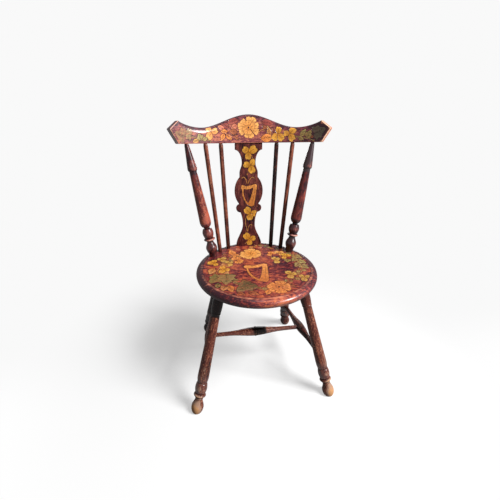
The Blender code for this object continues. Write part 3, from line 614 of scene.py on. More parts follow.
for sideName, side in sidesOf.items():
    foot, head = endsOf(post, "foot", "head", side)
    below = (head - foot).normalized() * sunk
    turnPiece("backPost" + sideName, foot - below, head, postProfile(head - foot), postWood,
              post["seed"] + side, favour=post["favour"], tone=lambda distance: postTone(distance, side),
              polish=lambda distance: postPolish(distance, side))
    for row in ("outer", "inner"):
        foot, head = endsOf(spindle, row + "Foot", row + "Head", side)
        below = (head - foot).normalized() * sunk
        turnPiece(row + "Spindle" + sideName, foot - below, head, spindleProfile(head - foot), spindleWood,
                  spindle[row + "Seed"] + side, spindle["sides"],
                  tone=lambda distance: spindleTone(distance, row + sideName, side))
    point, head = endsOf(brad, "point", "head", side)
    turnPiece("crestBrad" + sideName, point, head, bradProfile(head - point), bradSteel, brad["seed"] + side,
              brad["sides"])
print("turned pieces made")


# drawing, in millimetres on the flat of a board
def smoothLine(points, closed, steps=5):
    points = [Vector(point) for point in points]
    count = len(points)
    line = []
    for at in range(count if closed else count - 1):
        before, here, there, after = (points[(at + shift) % count] for shift in (-1, 0, 1, 2))
        if not closed:
            before = before if at else here * 2 - there
            after = after if at + 2 < count else there * 2 - here
        for part in parts(steps, 0)[:-1]:
            line.append(0.5 * (2 * here + (there - before) * part
                               + (2 * before - 5 * here + 4 * there - after) * part ** 2
                               + (3 * here - before - 3 * there + after) * part ** 3))
    return line if closed else line + [points[-1]]


def turnsOf(loop):
    # each point of a closed loop, with the ways into it and out of it
    return [(here, (here - loop[at - 1]).normalized(), (loop[(at + 1) % len(loop)] - here).normalized())
            for at, here in enumerate(loop)]


def outwards(loop):
    # outward normals of an anticlockwise loop, lengthened at corners
    normals = []
    for _, first, second in turnsOf(loop):
        straight = Vector((first.y, -first.x))
        normal = straight + Vector((second.y, -second.x))
        normal = straight if normal.length < 1e-6 else normal.normalized()
        normals.append(normal / max(0.6, normal.dot(straight)))
    return normals


def grown(loop, distance):
    return [point + normal * distance for point, normal in zip(loop, outwards(loop))]


def anticlockwise(loop):
    area = sum(loop[at - 1].cross(loop[at]) for at in range(len(loop)))
    return loop if area > 0 else loop[::-1]


def along(base, angle, distance):
    return Vector(base) + Vector((cos(angle), sin(angle))) * distance


def circle(centre, radius, count):
    return [along(centre, 2 * pi * at / count, radius) for at in range(count)]


def band(points, width, taper):
    # the outline of a stroke, which narrows to taper times its width
    points = [Vector(point) for point in points]
    last = len(points) - 1
    left, right = [], []
    for at, here in enumerate(points):
        way = (points[min(at + 1, last)] - points[max(at - 1, 0)]).normalized()
        normal = Vector((-way.y, way.x)) * width / 2 * mix(1, taper, at / last)
        left.append(here + normal)
        right.append(here - normal)
    return anticlockwise(left + right[::-1])


poker = dict(line=1.35, thinLine=0.8, halo=2.4, haloBurn=0.32, vein=1.1, sunk=0.35, merge=0.02, sway=1.6,
             swayScale=0.09, shake=0.5, shakeScale=0.36, apart=(7.3, 1.9, 4.1), fill=1.3, strokeReach=40)
inks = {"gold": ("be7c20", "dea442"), "yellow": ("b2802e", "d0a652"), "amber": ("cc843c", "e4a65c"),
        "apricot": ("d88a3c", "eeae60"), "orange": ("cc7634", "e8984e"), "harp": ("c07232", "e0944c"),
        "fern": ("464e2a", "6c7040"), "salmon": ("b4604a", "dc8e6c"), "olive": ("7e6a3c", "a08a50"),
        "lime": ("8c7a42", "aa9a5c"), "green": ("5e6234", "888648"), "moss": ("4a4234", "645a46"),
        "rust": ("7d3630", "9c4c40"), "tan": ("b8743c", "d09a5c"), "brown": ("8a4a2c", "a8643c")}


def wobbled(point):
    # the unsteadiness of a hand-held iron: a slow sway and a quick shake
    moved, apart = Vector(point), Vector(poker["apart"])
    for key in ("sway", "shake"):
        spot = Vector((point[0], point[1], 0.0)) * poker[key + "Scale"]
        moved += Vector((noise.noise(spot), noise.noise(spot + apart))) * poker[key]
    return moved


class Design:
    # shapes to be burnt and coloured on one face; later shapes lie on earlier ones
    def __init__(self, keepInside):
        self.halos, self.shapes, self.keepInside = [], [], keepInside

    def add(self, loop, kind, **fill):
        loop = [self.keepInside(point) for point in anticlockwise(loop)]
        (self.halos if kind == "halo" else self.shapes).append({"loop": loop, "kind": kind, **fill})

    def shape(self, loop, colours, root, reach, line=poker["line"]):
        loop = anticlockwise([wobbled(point) for point in loop])
        for growth, kind in ((line + poker["halo"], "halo"), (line, "burn"), (line / 2, "burn")):
            self.add(grown(loop, growth), kind)
        self.add(loop, "fill", colours=[ink(code) for code in inks[colours]], root=Vector(root), reach=reach)

    def vein(self, points, width=poker["vein"], taper=0.5):
        for size in (width, width / 2):
            self.add(band(points, size, taper), "burn")

    def stroke(self, points, width, colours, taper=0.7):
        points = smoothLine(points, False)
        self.shape(band(points, width, taper), colours, points[0], poker["strokeReach"], poker["thinLine"])

    def dot(self, centre, radius):
        for size in (radius, radius / 2):
            self.add(circle(centre, size, 12), "burn")


# half outlines along a unit length
leafShapes = {
    "heart": [(0, 0), (0.05, 0.13), (0.20, 0.33), (0.45, 0.47), (0.72, 0.48), (0.92, 0.36), (1.0, 0.17),
              (0.92, 0)],
    "petal": [(0.14, 0), (0.20, 0.07), (0.45, 0.22), (0.68, 0.34), (0.86, 0.36), (0.96, 0.27), (0.91, 0.18),
              (1.0, 0.09), (0.94, 0)],
    "leaf": [(0, 0), (0.12, 0.10), (0.34, 0.24), (0.60, 0.23), (0.83, 0.11), (1.0, 0)],
    "ivy": [(0.05, 0), (0.0, 0.20), (0.12, 0.44), (0.30, 0.33), (0.47, 0.40), (0.62, 0.22), (0.80, 0.15),
            (1.0, 0)]}


def leafLoop(kind, base, angle, length, width=1.0):
    half = leafShapes[kind]
    whole = half + [(ahead, -across) for ahead, across in reversed(half[1:-1])]
    turn = Matrix.Rotation(angle, 2)
    return [Vector(base) + turn @ Vector((ahead, across * width)) * length
            for ahead, across in smoothLine(whole, True, 4)]


def drawStroke(design, points, width, colours, taper=0.7):
    design.stroke(points, width, colours, taper)


def drawTrefoil(design, centre, tips, colours, stem=None):
    if stem:
        design.stroke([centre] + stem, 2.2, "tan")
    for tip in tips:
        way = Vector(tip) - Vector(centre)
        angle, size = atan2(way.y, way.x), way.length
        design.shape(leafLoop("heart", centre, angle, size, 0.9), colours, centre, size, 1.2)
        design.vein([along(centre, angle, size * share) for share in (0.15, 0.40, 0.70)])


def drawRosette(design, centre, radius, petals, turn, colours, heart=0.10):
    # two rings of petals, which differ a little in length and place
    for ring, share, count, line in ((0, 1.0, petals, 0.8), (1, 0.62, petals - 2, 0.6)):
        for petal in range(count):
            angle = radians(turn + 17 * ring) + 2 * pi * (petal + 0.12 * sin(petal * 2.4)) / count
            reach = radius * share * (1 + 0.07 * sin(petal * 1.7 + 0.5))
            design.shape(leafLoop("petal", centre, angle, reach, 6.6 / count), colours, centre, radius, line)
            design.vein([along(centre, angle, reach * part) for part in (0.62, 0.74, 0.86)], 0.8)
    heart *= radius
    design.shape(circle(centre, heart * 1.6, 16), colours, centre, radius, 0.6)
    design.dot(centre, heart * 0.7)
    for step in range(9):
        design.dot(along(centre, step * 2 * pi / 9 + 0.3, heart * (2.2 + 0.5 * sin(step * 2.1))), 0.8)


def drawLeaf(design, base, tip, width, colours, kind="leaf"):
    base, way = Vector(base), Vector(tip) - Vector(base)
    design.shape(leafLoop(kind, base, atan2(way.y, way.x), way.length, width), colours, base, way.length)
    design.vein([base + way * share for share in (0.04, 0.3, 0.6, 0.88)], 1.2, 0.4)
    for share in (0.28, 0.46, 0.64):
        for side in (-1, 1):
            start = base + way * share
            end = start + Matrix.Rotation(side * 0.75, 2) @ way * 0.16 * width
            design.vein([start, (start + end) / 2, end], 0.8)


# a plain harp: straight soundbox at the right, curved pillar at the left
harp = {
    "outside": [(0.16, -0.50), (0.30, -0.46), (0.36, -0.36), (0.42, -0.05), (0.50, 0.36), (0.50, 0.46),
                (0.40, 0.50), (0.24, 0.47), (0.04, 0.43), (-0.16, 0.42), (-0.32, 0.45), (-0.44, 0.46),
                (-0.50, 0.40), (-0.48, 0.32), (-0.42, 0.28), (-0.42, 0.10), (-0.36, -0.10), (-0.24, -0.28),
                (-0.06, -0.43)],
    "inside": [(-0.04, -0.33), (0.10, -0.14), (0.28, 0.33), (0.10, 0.30), (-0.14, 0.28), (-0.33, 0.29),
               (-0.34, 0.11), (-0.28, -0.07), (-0.17, -0.23)],
    "pegs": [(-0.30 + 0.14 * step, 0.37 + 0.008 * step) for step in range(5)], "peg": 1.1,
    "edge": [(0.22, -0.38), (0.32, -0.06), (0.40, 0.30)]}


def drawHarp(design, centre, width, height):
    def fit(key):
        return [(centre[0] + across * width, centre[1] + rise * height) for across, rise in harp[key]]

    root = (centre[0], centre[1] - height / 2)
    design.shape(smoothLine(fit("outside"), True, 4), "harp", root, height)
    hollow = anticlockwise(smoothLine(fit("inside"), True, 4))
    design.add(hollow, "burn")
    design.add(grown(hollow, -poker["line"] / 2), "burn")
    design.add(grown(hollow, -poker["line"]), "ground")
    for peg in fit("pegs"):
        design.dot(peg, harp["peg"])
    design.vein(fit("edge"), 1.0, 0.8)


def drawAll(design, draw, *rows):
    for row in rows:
        draw(design, *row)


# boards: an outline with rounded edges, a drawn face and a plain back, laid in space by a place function
def roundCorners(loop, radius, bend):
    # true fillets on the outward corners
    rounded = []
    for here, first, second in turnsOf(loop):
        turn = atan2(first.cross(second), first.dot(second))
        if turn < bend:
            rounded.append(here)
            continue
        start = here - first * radius * tan(turn / 2)
        centre = start + Vector((-first.y, first.x)) * radius
        rounded += [centre + Matrix.Rotation(turn * part, 2) @ (start - centre) for part in parts(5, 0)]
    return rounded


def frontTurn(place, spot, forward, across, rise, out):
    # turns a direction on the flat board into one in space
    step = 0.05
    u, v = spot
    alongU = (place(u + step, v, forward) - place(u - step, v, forward)).normalized()
    alongV = (place(u, v + step, forward) - place(u, v - step, forward)).normalized()
    ahead = alongU.cross(alongV).normalized()
    return (alongU * across + alongV * rise + ahead * out).normalized()


def triangulate(loop, shapes, lines, guides):
    points, faces, lines = list(loop), [list(range(len(loop)))], list(lines)
    for shape in shapes:
        faces.append(list(range(len(points), len(points) + len(shape["loop"]))))
        points += shape["loop"]
    for guide in guides:
        lines += [(at, at + 1) for at in range(len(points), len(points) + len(guide) - 1)]
        points += guide
    found, _, tris, sources, _, owners = delaunay_2d_cdt(points, lines, faces, 1, poker["merge"])
    rim = {}
    for at, origin in enumerate(sources):
        own = [source for source in origin if source < len(loop)]
        if own:
            rim[at] = own[0]
    kept = [(tri, max(owner)) for tri, owner in zip(tris, owners) if 0 in owner]
    used = {at for tri, _ in kept for at in tri}
    if len({rim[at] for at in used if at in rim}) != len(loop):
        print("drawing meets the edge of the face")
    return found, kept, rim, used


def fillColour(shape, spot):
    # a fill runs from its first colour at the root to the second at its reach
    share = min(1.0, ((spot - shape["root"]).length / shape["reach"]) ** poker["fill"])
    return tuple(mix(low, high, share) for low, high in zip(*shape["colours"]))


plainBoard = {"lines": [], "guides": [], "faceWear": none, "grimeAndShade": none, "tone": none, "polish": none}


def makeBoard(name, node, finish, board):
    board = {**plainBoard, **board}
    place, outline, rings, design = board["place"], board["outline"], board["rings"], board["design"]
    count, normals = len(outline), outwards(outline)
    spots, points, worn, grimeAndShade, ringTurns = [], [], [], [], []
    faces, turns, paints, covers, burns = [], [], [], [], []

    def addPoint(spot, forward, wear, dirt=0.0):
        spots.append((spot[0], spot[1], forward))
        points.append(place(spot[0], spot[1], forward))
        worn.append(wear)
        grimeAndShade.append(dirt)
        return len(points) - 1

    def addFace(corners, ways, colours=None, cover=0.0, burn=None):
        faces.append(corners)
        turns.extend(ways)
        paints.extend(colours or [(0, 0, 0, 1)] * len(corners))
        covers.extend([cover] * len(corners))
        burns.extend(burn or [0.0] * len(corners))

    for inset, forward, out, ahead, wear in rings:
        for here, normal in zip(outline, normals):
            spot, side = here - normal * inset, normal.normalized() * out
            addPoint(spot, forward, wear * board["wear"](spot), board["grimeAndShade"](spot, forward))
            ringTurns.append(frontTurn(place, spot, forward, side.x, side.y, ahead))
    for ring in range(0, (len(rings) - 1) * count, count):
        for at in range(count):
            following = ring + (at + 1) % count
            corners = [ring + at, ring + count + at, following + count, following]
            addFace(corners, [ringTurns[corner] for corner in corners])

    for first, shapes, sign in ((0, design.halos + design.shapes, 1), ((len(rings) - 1) * count, [], -1)):
        forward = spots[first][2]
        loop = [Vector(spot[:2]) for spot in spots[first:first + count]]
        found, kept, rim, used = triangulate(loop, shapes, board["lines"], board["guides"] if sign > 0 else [])
        kinds = [shapes[owner - 1]["kind"] if owner else "ground" for _, owner in kept]
        touching = {at: set() for at in used}
        for (tri, _), kind in zip(kept, kinds):
            for at in tri:
                touching[at].add(kind)
        # points among burnt faces only lie deeper
        deep = {at for at in used if touching[at] == {"burn"} and at not in rim}
        index = {}
        for at in used:
            level = forward - (poker["sunk"] if at in deep else 0.0)
            wear = board["faceWear"](found[at]) if sign > 0 else 0.0
            index[at] = first + rim[at] if at in rim else addPoint(found[at], level, wear)
        ways = {at: frontTurn(place, found[at], forward, 0, 0, sign) for at in used}
        for (tri, owner), kind in zip(kept, kinds):
            tri = list(tri)[::sign]
            corners = [index[at] for at in tri]
            directions = [ways[at] for at in tri]
            if any(at in deep for at in tri):
                a, b, c = (points[corner] for corner in corners)
                flat = (b - a).cross(c - a)
                directions = [flat.normalized() if flat.length > 1e-12 else directions[0]] * 3
            if kind == "fill":
                addFace(corners, directions, [fillColour(shapes[owner - 1], found[at]) for at in tri], 1.0)
            else:
                haze = [poker["haloBurn"] if "burn" in touching[at] else 0.0 for at in tri]
                addFace(corners, directions, burn={"burn": [1.0] * 3, "halo": haze}.get(kind))

    mesh = bpy.data.meshes.new(name)
    mesh.from_pydata(points, [], faces)
    mesh.polygons.foreach_set("use_smooth", [True] * len(faces))
    grain = mesh.attributes.new("grainPlace", "FLOAT_VECTOR", "POINT")
    grain.data.foreach_set("vector", [spot[axis] / 1000 + 0.5 for spot in spots for axis in board["grain"]])
    columns = {key: [board[key](spot) for spot in spots] for key in ("tone", "thin", "polish")}
    store(mesh, "POINT", {"worn": worn, "recessAndShade": grimeAndShade, **columns})
    colours = mesh.attributes.new("paint", "FLOAT_COLOR", "CORNER")
    colours.data.foreach_set("color", [part for colour in paints for part in colour])
    store(mesh, "CORNER", {"cover": covers, "burn": burns})
    mesh.materials.append(finish)
    mesh.normals_split_custom_set(turns)
    mesh.validate(clean_customdata=False)
    print(name, len(faces), "faces")
    return addPiece(name, mesh, node)


def roundEdge(radius, thickness, steps, wear):
    # rings of a board with the same round on both edges
    rings = []
    for part in parts(steps, 0):
        high, level = sin(pi / 2 * part), cos(pi / 2 * part)
        rings.append((radius * (1 - high), thickness / 2 - radius * (1 - level), high, level,
                      wear * (0.22 + 0.78 * sin(pi * part))))
    return rings + [(inset, -forward, out, -ahead, worn)
                    for inset, forward, out, ahead, worn in reversed(rings)]


def patch(spot, u, v, reach):
    # 1 in the middle of a round patch, 0 from its edge on
    return max(0.0, 1 - ((spot[0] - u) ** 2 + (spot[1] - v) ** 2) / reach ** 2)


# seat
seat = dict(height=413, radius=203, edgeWidth=20, edgeDrop=15, thickness=28, undercut=9, sides=240, flat=0.8,
            # rim tones: painted shade on the rim and a painted lit side towards the front right
            groove=2.6, grooveDepth=0.9, margin=0.6, rimFrom=181.5, rimLitWay=(0.35, -0.94), rimShade=-0.4,
            rimLitFront=0.44, tone=-0.03,
            # tone patches of the stain; the last, at the front edge, is a painted highlight
            tonePatchesAndGlint=[(0, 50, 60, 0.12), (-110, 10, 60, 0.08), (90, -15, 55, -0.26), (-70, -35, 40, -0.14),
                     (120, 120, 50, -0.16), (-150, 100, 50, -0.14), (150, -120, 50, -0.08), (30, -190, 70, 0.14)],
            thin=0.18, thinFront=0.3, thinFrom=(-10, 100), thinPatches=[(-138, -70, 60), (-58, -117, 46)],
            # darker in the groove; the darkening is painted shade under the rim and a painted shadow behind the
            # sticks
            thinPatch=0.12, polishWay=(0.4, -0.92), polish=1.0, kneePolish=3.0, grooveDark=0.85, dirt=0.7,
            behind=(40, 140), underside=(10, 22), rimWear=0.75, rimBack=0.25,
            wear=0.04, frontWear=0.18, frontFrom=(20, 130))


def seatPlace(u, v, forward):
    return Vector((u, v, seat["height"] + forward)) / 1000


def seatRings():
    wide, deep, under, groove = (seat[key] for key in ("edgeWidth", "edgeDrop", "undercut", "groove"))
    flat, below = wide + seat["flat"], seat["thickness"] - deep
    rings = [(flat + groove, 0, 0, 1, 0.1), (flat + groove / 2, -seat["grooveDepth"], 0, 1, 0.0),
             (flat, 0, 0, 1, 0.4)]
    for step, part in enumerate(parts(12, 0)):
        high, level = sin(pi / 2 * part), cos(pi / 2 * part)
        turn = Vector((deep * high, wide * level)).normalized()
        rings.append((wide * (1 - high), -deep * (1 - level), turn.x, turn.y,
                      0.4 if step < 3 else 0.22 if step < 10 else 0.12))
    for part in parts(8):
        high, level = sin(pi / 2 * part), cos(pi / 2 * part)
        turn = Vector((level / under, -high / below)).normalized()
        rings.append((under * (1 - level), -deep - below * high, turn.x, turn.y, 0.05))
    return rings


def seatInside(point):
    limit = seat["radius"] - seat["edgeWidth"] - seat["flat"] - seat["groove"] - seat["margin"]
    return point * min(1.0, limit / max(point.length, 1e-6))


sprigs = dict(count=84, turn=137.5, near=92, spread=78, share=0.618, squash=0.95, swirl=1.7, length=16, vary=6,
              width=1.4, line=0.7, vein=0.9, orangeTo=-20, limeFrom=60,
              clear=[(-55, 55, -110, 35), (60, 125, -50, 25)])


def drawSprigs(design):
    # small leaves and twigs strewn between the larger motifs
    for number in range(sprigs["count"]):
        turn = radians(sprigs["turn"] * number)
        reach = sprigs["near"] + sprigs["spread"] * (number * sprigs["share"] % 1)
        base = Vector((sin(turn), cos(turn) * sprigs["squash"])) * reach
        if any(left < base.x < right and low < base.y < high for left, right, low, high in sprigs["clear"]):
            continue
        colours = ("olive", "tan", "green")
        if base.x < sprigs["orangeTo"] and base.y > 0:
            colours = ("orange", "olive", "tan")
        elif base.x > sprigs["limeFrom"]:
            colours = ("olive", "lime", "brown")
        angle, length = turn * sprigs["swirl"], sprigs["length"] + sprigs["vary"] * sin(number * 2.3)
        loop = leafLoop("leaf", base, angle, length, sprigs["width"])
        design.shape(loop, colours[number % 3], base, length, sprigs["line"])
        design.vein([along(base, angle, length * share) for share in (-0.6, 0.1, 0.8)], sprigs["vein"])


def drawSeat():
    design = Design(seatInside)
    drawSprigs(design)
    # green leaves and the vines first, flowers on top
    drawAll(design, drawLeaf,
            ((-124, -42), (-166, -82), 1.05, "green", "ivy"), ((-106, -36), (-112, -96), 1.2, "olive", "ivy"),
            ((-136, -84), (-142, -112), 1.3, "green"), ((-104, -100), (-98, -138), 1.2, "orange"),
            ((-116, -104), (-128, -130), 1.1, "tan", "ivy"), ((-32, -96), (-84, -138), 1.15, "fern", "ivy"),
            ((-52, -142), (-22, -164), 1.1, "brown"), ((-84, -142), (-62, -160), 1.1, "brown"))
    drawAll(design, drawStroke, ([(-26, -98), (-40, -86), (-62, -78), (-88, -80)], 2.0, "brown"))
    drawAll(design, drawLeaf,
            ((146, 64), (172, 42), 1.25, "olive", "ivy"), ((150, 40), (130, 22), 1.25, "olive", "ivy"),
            ((152, 22), (176, 4), 1.25, "lime", "ivy"), ((150, 4), (130, -16), 1.25, "olive", "ivy"),
            ((152, -8), (172, -34), 1.25, "olive", "ivy"), ((118, 40), (112, 16), 1.25, "olive", "ivy"),
            ((150, 66), (162, 84), 1.25, "brown"), ((148, -28), (132, -42), 1.25, "brown"))
    drawAll(design, drawStroke,
            ([(150, 84), (147, 50), (151, 10), (150, -30), (138, -58)], 2.0, "tan"),
            ([(-150, -34), (-134, -12), (-120, 22), (-104, 52), (-78, 84), (-70, 106)], 2.0, "tan"))
    drawAll(design, drawLeaf,
            ((-66, 92), (-76, 138), 1.1, "orange"), ((-62, 104), (-48, 88), 1.2, "orange"),
            ((-38, 126), (-54, 150), 1.1, "salmon"), ((30, 130), (44, 152), 1.1, "salmon"),
            ((50, 118), (66, 138), 1.0, "rust"), ((-142, 10), (-160, -26), 1.3, "tan"),
            ((-130, -10), (-136, -34), 1.2, "brown"), ((-92, 92), (-104, 112), 1.0, "brown"))
    drawAll(design, drawTrefoil,
            ((-138, 46), [(-164, 50), (-140, 68), (-134, 26)], "gold", [(-128, 44), (-116, 40)]),
            ((-112, 66), [(-128, 74), (-100, 82), (-106, 48)], "yellow"),
            ((-90, 38), [(-100, 54), (-76, 44), (-86, 18)], "yellow"),
            ((-112, -2), [(-116, 20), (-92, -10), (-124, -24)], "gold", [(-106, 12), (-98, 24)]),
            ((-58, 60), [(-78, 70), (-50, 76), (-42, 44)], "orange"),
            ((-56, 50), [(-66, 34), (-46, 34)], "orange"),
            ((70, 86), [(54, 76), (66, 104), (88, 96)], "orange", [(66, 70), (62, 56)]),
            ((100, 88), [(88, 106), (116, 98), (104, 70)], "amber"),
            ((116, 62), [(104, 46), (136, 72), (112, 84)], "gold", [(106, 52), (98, 42)]),
            ((76, 40), [(68, 60), (90, 50), (76, 16)], "yellow", [(86, 54), (94, 58)]),
            ((102, -64), [(92, -42), (122, -60), (94, -88)], "yellow", [(112, -52), (126, -44)]),
            ((140, -88), [(128, -72), (162, -86), (132, -110)], "yellow", [(134, -74), (126, -64)]))
    drawAll(design, drawStroke, ([(-20, -128), (-4, -140), (12, -136)], 2.2, "tan"))
    drawAll(design, drawLeaf, ((14, -140), (0, -166), 1.2, "orange"), ((84, -122), (96, -140), 1.1, "brown"))
    drawAll(design, drawRosette, ((-5, 98), 40, 8, 25, "apricot"), ((46, -131), 36, 9, 10, "orange", 0.16))
    drawHarp(design, (-3, -39), 79, 116)
    return design


def onRim(spot):
    return hypot(spot[0], spot[1]) > seat["rimFrom"]


def facing(spot, way):
    return max(0.0, (way[0] * spot[0] + way[1] * spot[1]) / seat["radius"])


def seatToneAndPaintedLight(spot):
    # orange behind the harp and darker at both sides of it; a painted highlight at the front edge; the rim has
    # painted shade, lifted by a painted lit side towards the front right
    rim = onRim(spot) * (seat["rimLitFront"] * facing(spot, seat["rimLitWay"]) ** 2 + seat["rimShade"])
    return rim + seat["tone"] + sum(shift * patch(spot, u, v, reach) for u, v, reach, shift in seat["tonePatchesAndGlint"])


def seatThin(spot):
    # colours are most rubbed at the front, and on the green leaves at the left
    thin = seat["thin"] + seat["thinFront"] * climb(-spot[1], *seat["thinFrom"])
    return thin + seat["thinPatch"] * sum(patch(spot, *place) for place in seat["thinPatches"])


def seatPolish(spot):
    # the rim shines most where knees have rubbed it
    return onRim(spot) * (seat["polish"] + seat["kneePolish"] * facing(spot, seat["polishWay"]) ** 8)


def seatGrimeAndShade(spot, forward):
    # darker in the groove; painted shade under the rim, and a painted shadow of the sticks on the rim behind them
    groove = forward == -seat["grooveDepth"] and not onRim(spot)
    behind = onRim(spot) * climb(spot.y, *seat["behind"])
    under = climb(-forward, *seat["underside"])
    return max(seat["grooveDark"] * groove, seat["dirt"] * behind, seat["dirt"] * under)


plankSeat = makeBoard("plankSeat", "seat", seatWood, {
    "place": seatPlace, "outline": circle((0, 0), seat["radius"], seat["sides"]), "rings": seatRings(),
    "design": drawSeat(), "grain": (1, 2, 0),
    "wear": lambda spot: seat["rimWear"] - seat["rimBack"] * spot.y / seat["radius"],
    "faceWear": lambda spot: seat["wear"] + seat["frontWear"] * climb(-spot.y, *seat["frontFrom"]),
    "grimeAndShade": seatGrimeAndShade, "tone": seatToneAndPaintedLight, "thin": seatThin, "polish": seatPolish})

# crest rail
crest = dict(base=(0, 202.47, 784.80), bend=402.7, thickness=20, edge=2.4, centre=90.3, dip=48.5, dipAt=164.5,
             ear=67.7, earAt=246.8, point=43.1, pointAt=279.5, footAt=251.2, corner=3.2, roll=18, rollDeep=5,
             rollEnd=(-262, -236), margin=2.9, drawTo=262, endFrom=240, endMargin=2,
             guides=(4, 6.5, 9, 11.5, 14, 16, 18), wornFrom=246, wear=0.9, rightWear=2.6, leftWear=0.75,
             # the right and top tones are painted shade
             lowWear=0.6, lowTo=20, topWear=0.12, tone=0.03, rightShade=-0.34, rightEnd=(178, 250), topShade=-0.2,
             topEdge=(-18, -6), thin=0.15, leftThin=0.5, thinEnd=(170, 220), leftPolish=2.2,
             polishEnd=(105, 205))


def crestPlace(u, v, forward):
    # the face rolls back towards the top edge, but not on the ears
    share = climb(v - crestTop(u), -crest["roll"], 0) * climb(-abs(u), *crest["rollEnd"])
    forward -= crest["rollDeep"] * share ** 2 * (0.5 + forward / crest["thickness"])
    angle, radius = u / crest["bend"], crest["bend"] - forward
    x, y = radius * sin(angle), radius * cos(angle) - crest["bend"]
    leaned = Vector((x, y * cos(crestLean) + v * sin(crestLean), v * cos(crestLean) - y * sin(crestLean)))
    return (Vector(crest["base"]) + leaned) / 1000


def crestTop(u):
    u = abs(u)
    if u <= crest["dipAt"]:
        return mix(crest["dip"], crest["centre"], (1 + cos(pi * u / crest["dipAt"])) / 2)
    if u <= crest["earAt"]:
        return mix(crest["dip"], crest["ear"], ((u - crest["dipAt"]) / (crest["earAt"] - crest["dipAt"])) ** 2)
    return mix(crest["ear"], crest["point"], (u - crest["earAt"]) / (crest["pointAt"] - crest["earAt"]))


def crestBottom(u):
    return max(0.0, crest["point"] * (abs(u) - crest["footAt"]) / (crest["pointAt"] - crest["footAt"]))


def crestOutline():
    half = [crest["earAt"] * part for part in parts(40)]
    stations = [-u for u in reversed(half)] + [0.0] + half
    low = [(u, 0) for u in [-crest["footAt"]] + stations + [crest["footAt"]]]
    high = [(u, crestTop(u)) for u in reversed(stations)]
    loop = low + [(crest["pointAt"], crest["point"])] + high + [(-crest["pointAt"], crest["point"])]
    return roundCorners([Vector(point) for point in loop], crest["corner"], 0.5)


def crestLines(loop):
    # joins the lower edge to the upper one at each station, so that the face follows the bend
    low = {round(point.x, 2): at for at, point in enumerate(loop) if point.y < 0.01}
    return [(low[round(point.x, 2)], at) for at, point in enumerate(loop)
            if round(point.x, 2) in low and point.y > crest["lowTo"]]


def crestGuides():
    # lines below the top edge that carry the roll of the face
    stations = range(-crest["endFrom"], crest["endFrom"] + 1, 6)
    return [[Vector((u, crestTop(u) - below)) for u in stations] for below in crest["guides"]]


def crestInside(point):
    u = max(-crest["drawTo"], min(crest["drawTo"], point.x))
    margin = crest["margin"] + (crest["endMargin"] if abs(u) > crest["endFrom"] else 0)
    return Vector((u, max(crestBottom(u) + margin, min(crestTop(u) - margin, point.y))))


def drawCrest():
    design = Design(crestInside)
    # left: rust leaves by the flower, orange spray, amber trefoil, olive vine
    drawAll(design, drawLeaf,
            ((-36, 74), (-74, 62), 1.1, "rust"), ((-40, 58), (-62, 46), 1.3, "salmon"),
            ((-68, 52), (-94, 58), 1.3, "rust"), ((-40, 34), (-68, 38), 1.2, "brown"),
            ((-84, 42), (-108, 54), 1.1, "salmon"), ((-74, 36), (-98, 38), 1.1, "orange"),
            ((-86, 32), (-98, 8), 1.2, "orange"), ((-80, 28), (-60, 12), 1.2, "orange"),
            ((-52, 26), (-36, 12), 1.1, "brown"))
    drawAll(design, drawStroke,
            ([(-34, 28), (-44, 21), (-58, 20), (-74, 26), (-84, 34)], 2.4, "salmon"),
            ([(-128, 32), (-118, 22), (-108, 12), (-96, 8)], 2.4, "salmon"))
    drawTrefoil(design, (-131, 34), [(-147, 48), (-110, 41), (-146, 14)], "amber")
    drawStroke(design, [(-134, 6), (-150, 12), (-172, 12), (-196, 20), (-226, 26)], 2.4, "olive")
    drawAll(design, drawLeaf,
            ((-170, 12), (-178, 30), 1.6, "lime", "ivy"), ((-166, 10), (-146, 18), 1.2, "lime"),
            ((-178, 10), (-200, 6), 1.3, "yellow"), ((-202, 26), (-234, 34), 1.3, "lime", "ivy"),
            ((-226, 22), (-262, 32), 1.5, "olive", "ivy"))
    # right: rust, tan and orange leaves, two gold trefoils, olive vine and a dark leaf at the end
    drawAll(design, drawLeaf,
            ((42, 68), (84, 60), 1.0, "rust"), ((76, 20), (64, 54), 0.8, "tan"),
            ((46, 54), (64, 44), 1.1, "brown"), ((40, 14), (86, 18), 1.15, "orange"))
    drawStroke(design, [(34, 34), (42, 40), (50, 42), (54, 36)], 2.4, "tan")
    drawAll(design, drawTrefoil,
            ((102, 28), [(103, 51), (83, 10), (119, 8)], "gold"),
            ((140, 27), [(120, 31), (158, 46), (155, 6)], "gold"))
    drawStroke(design, [(160, 20), (182, 16), (206, 12), (226, 4)], 3.0, "olive")
    drawAll(design, drawLeaf,
            ((178, 18), (196, 42), 1.0, "lime"), ((170, 18), (190, 8), 1.1, "olive"),
            ((200, 16), (214, 38), 1.2, "olive", "ivy"), ((212, 14), (224, 20), 1.1, "brown"),
            ((222, 26), (262, 42), 1.2, "moss", "ivy"))
    drawRosette(design, (-1, 49), 36, 9, 12, "amber", 0.13)
    return design


def crestWear(spot):
    # ends rubbed most at the right, lower edge a little, top edge hardly
    if abs(spot.x) > crest["wornFrom"]:
        return crest["rightWear"] if spot.x > 0 else crest["leftWear"]
    return crest["lowWear"] if spot.y < crest["lowTo"] else crest["topWear"]


def crestToneAndShade(spot):
    # painted shade: darker at the right end, which faces away from the light, and along the top edge, where the
    # face rolls back
    right, top = climb(spot[0], *crest["rightEnd"]), climb(spot[1] - crestTop(spot[0]), *crest["topEdge"])
    return crest["tone"] + crest["rightShade"] * right + crest["topShade"] * top


crestLoop = crestOutline()
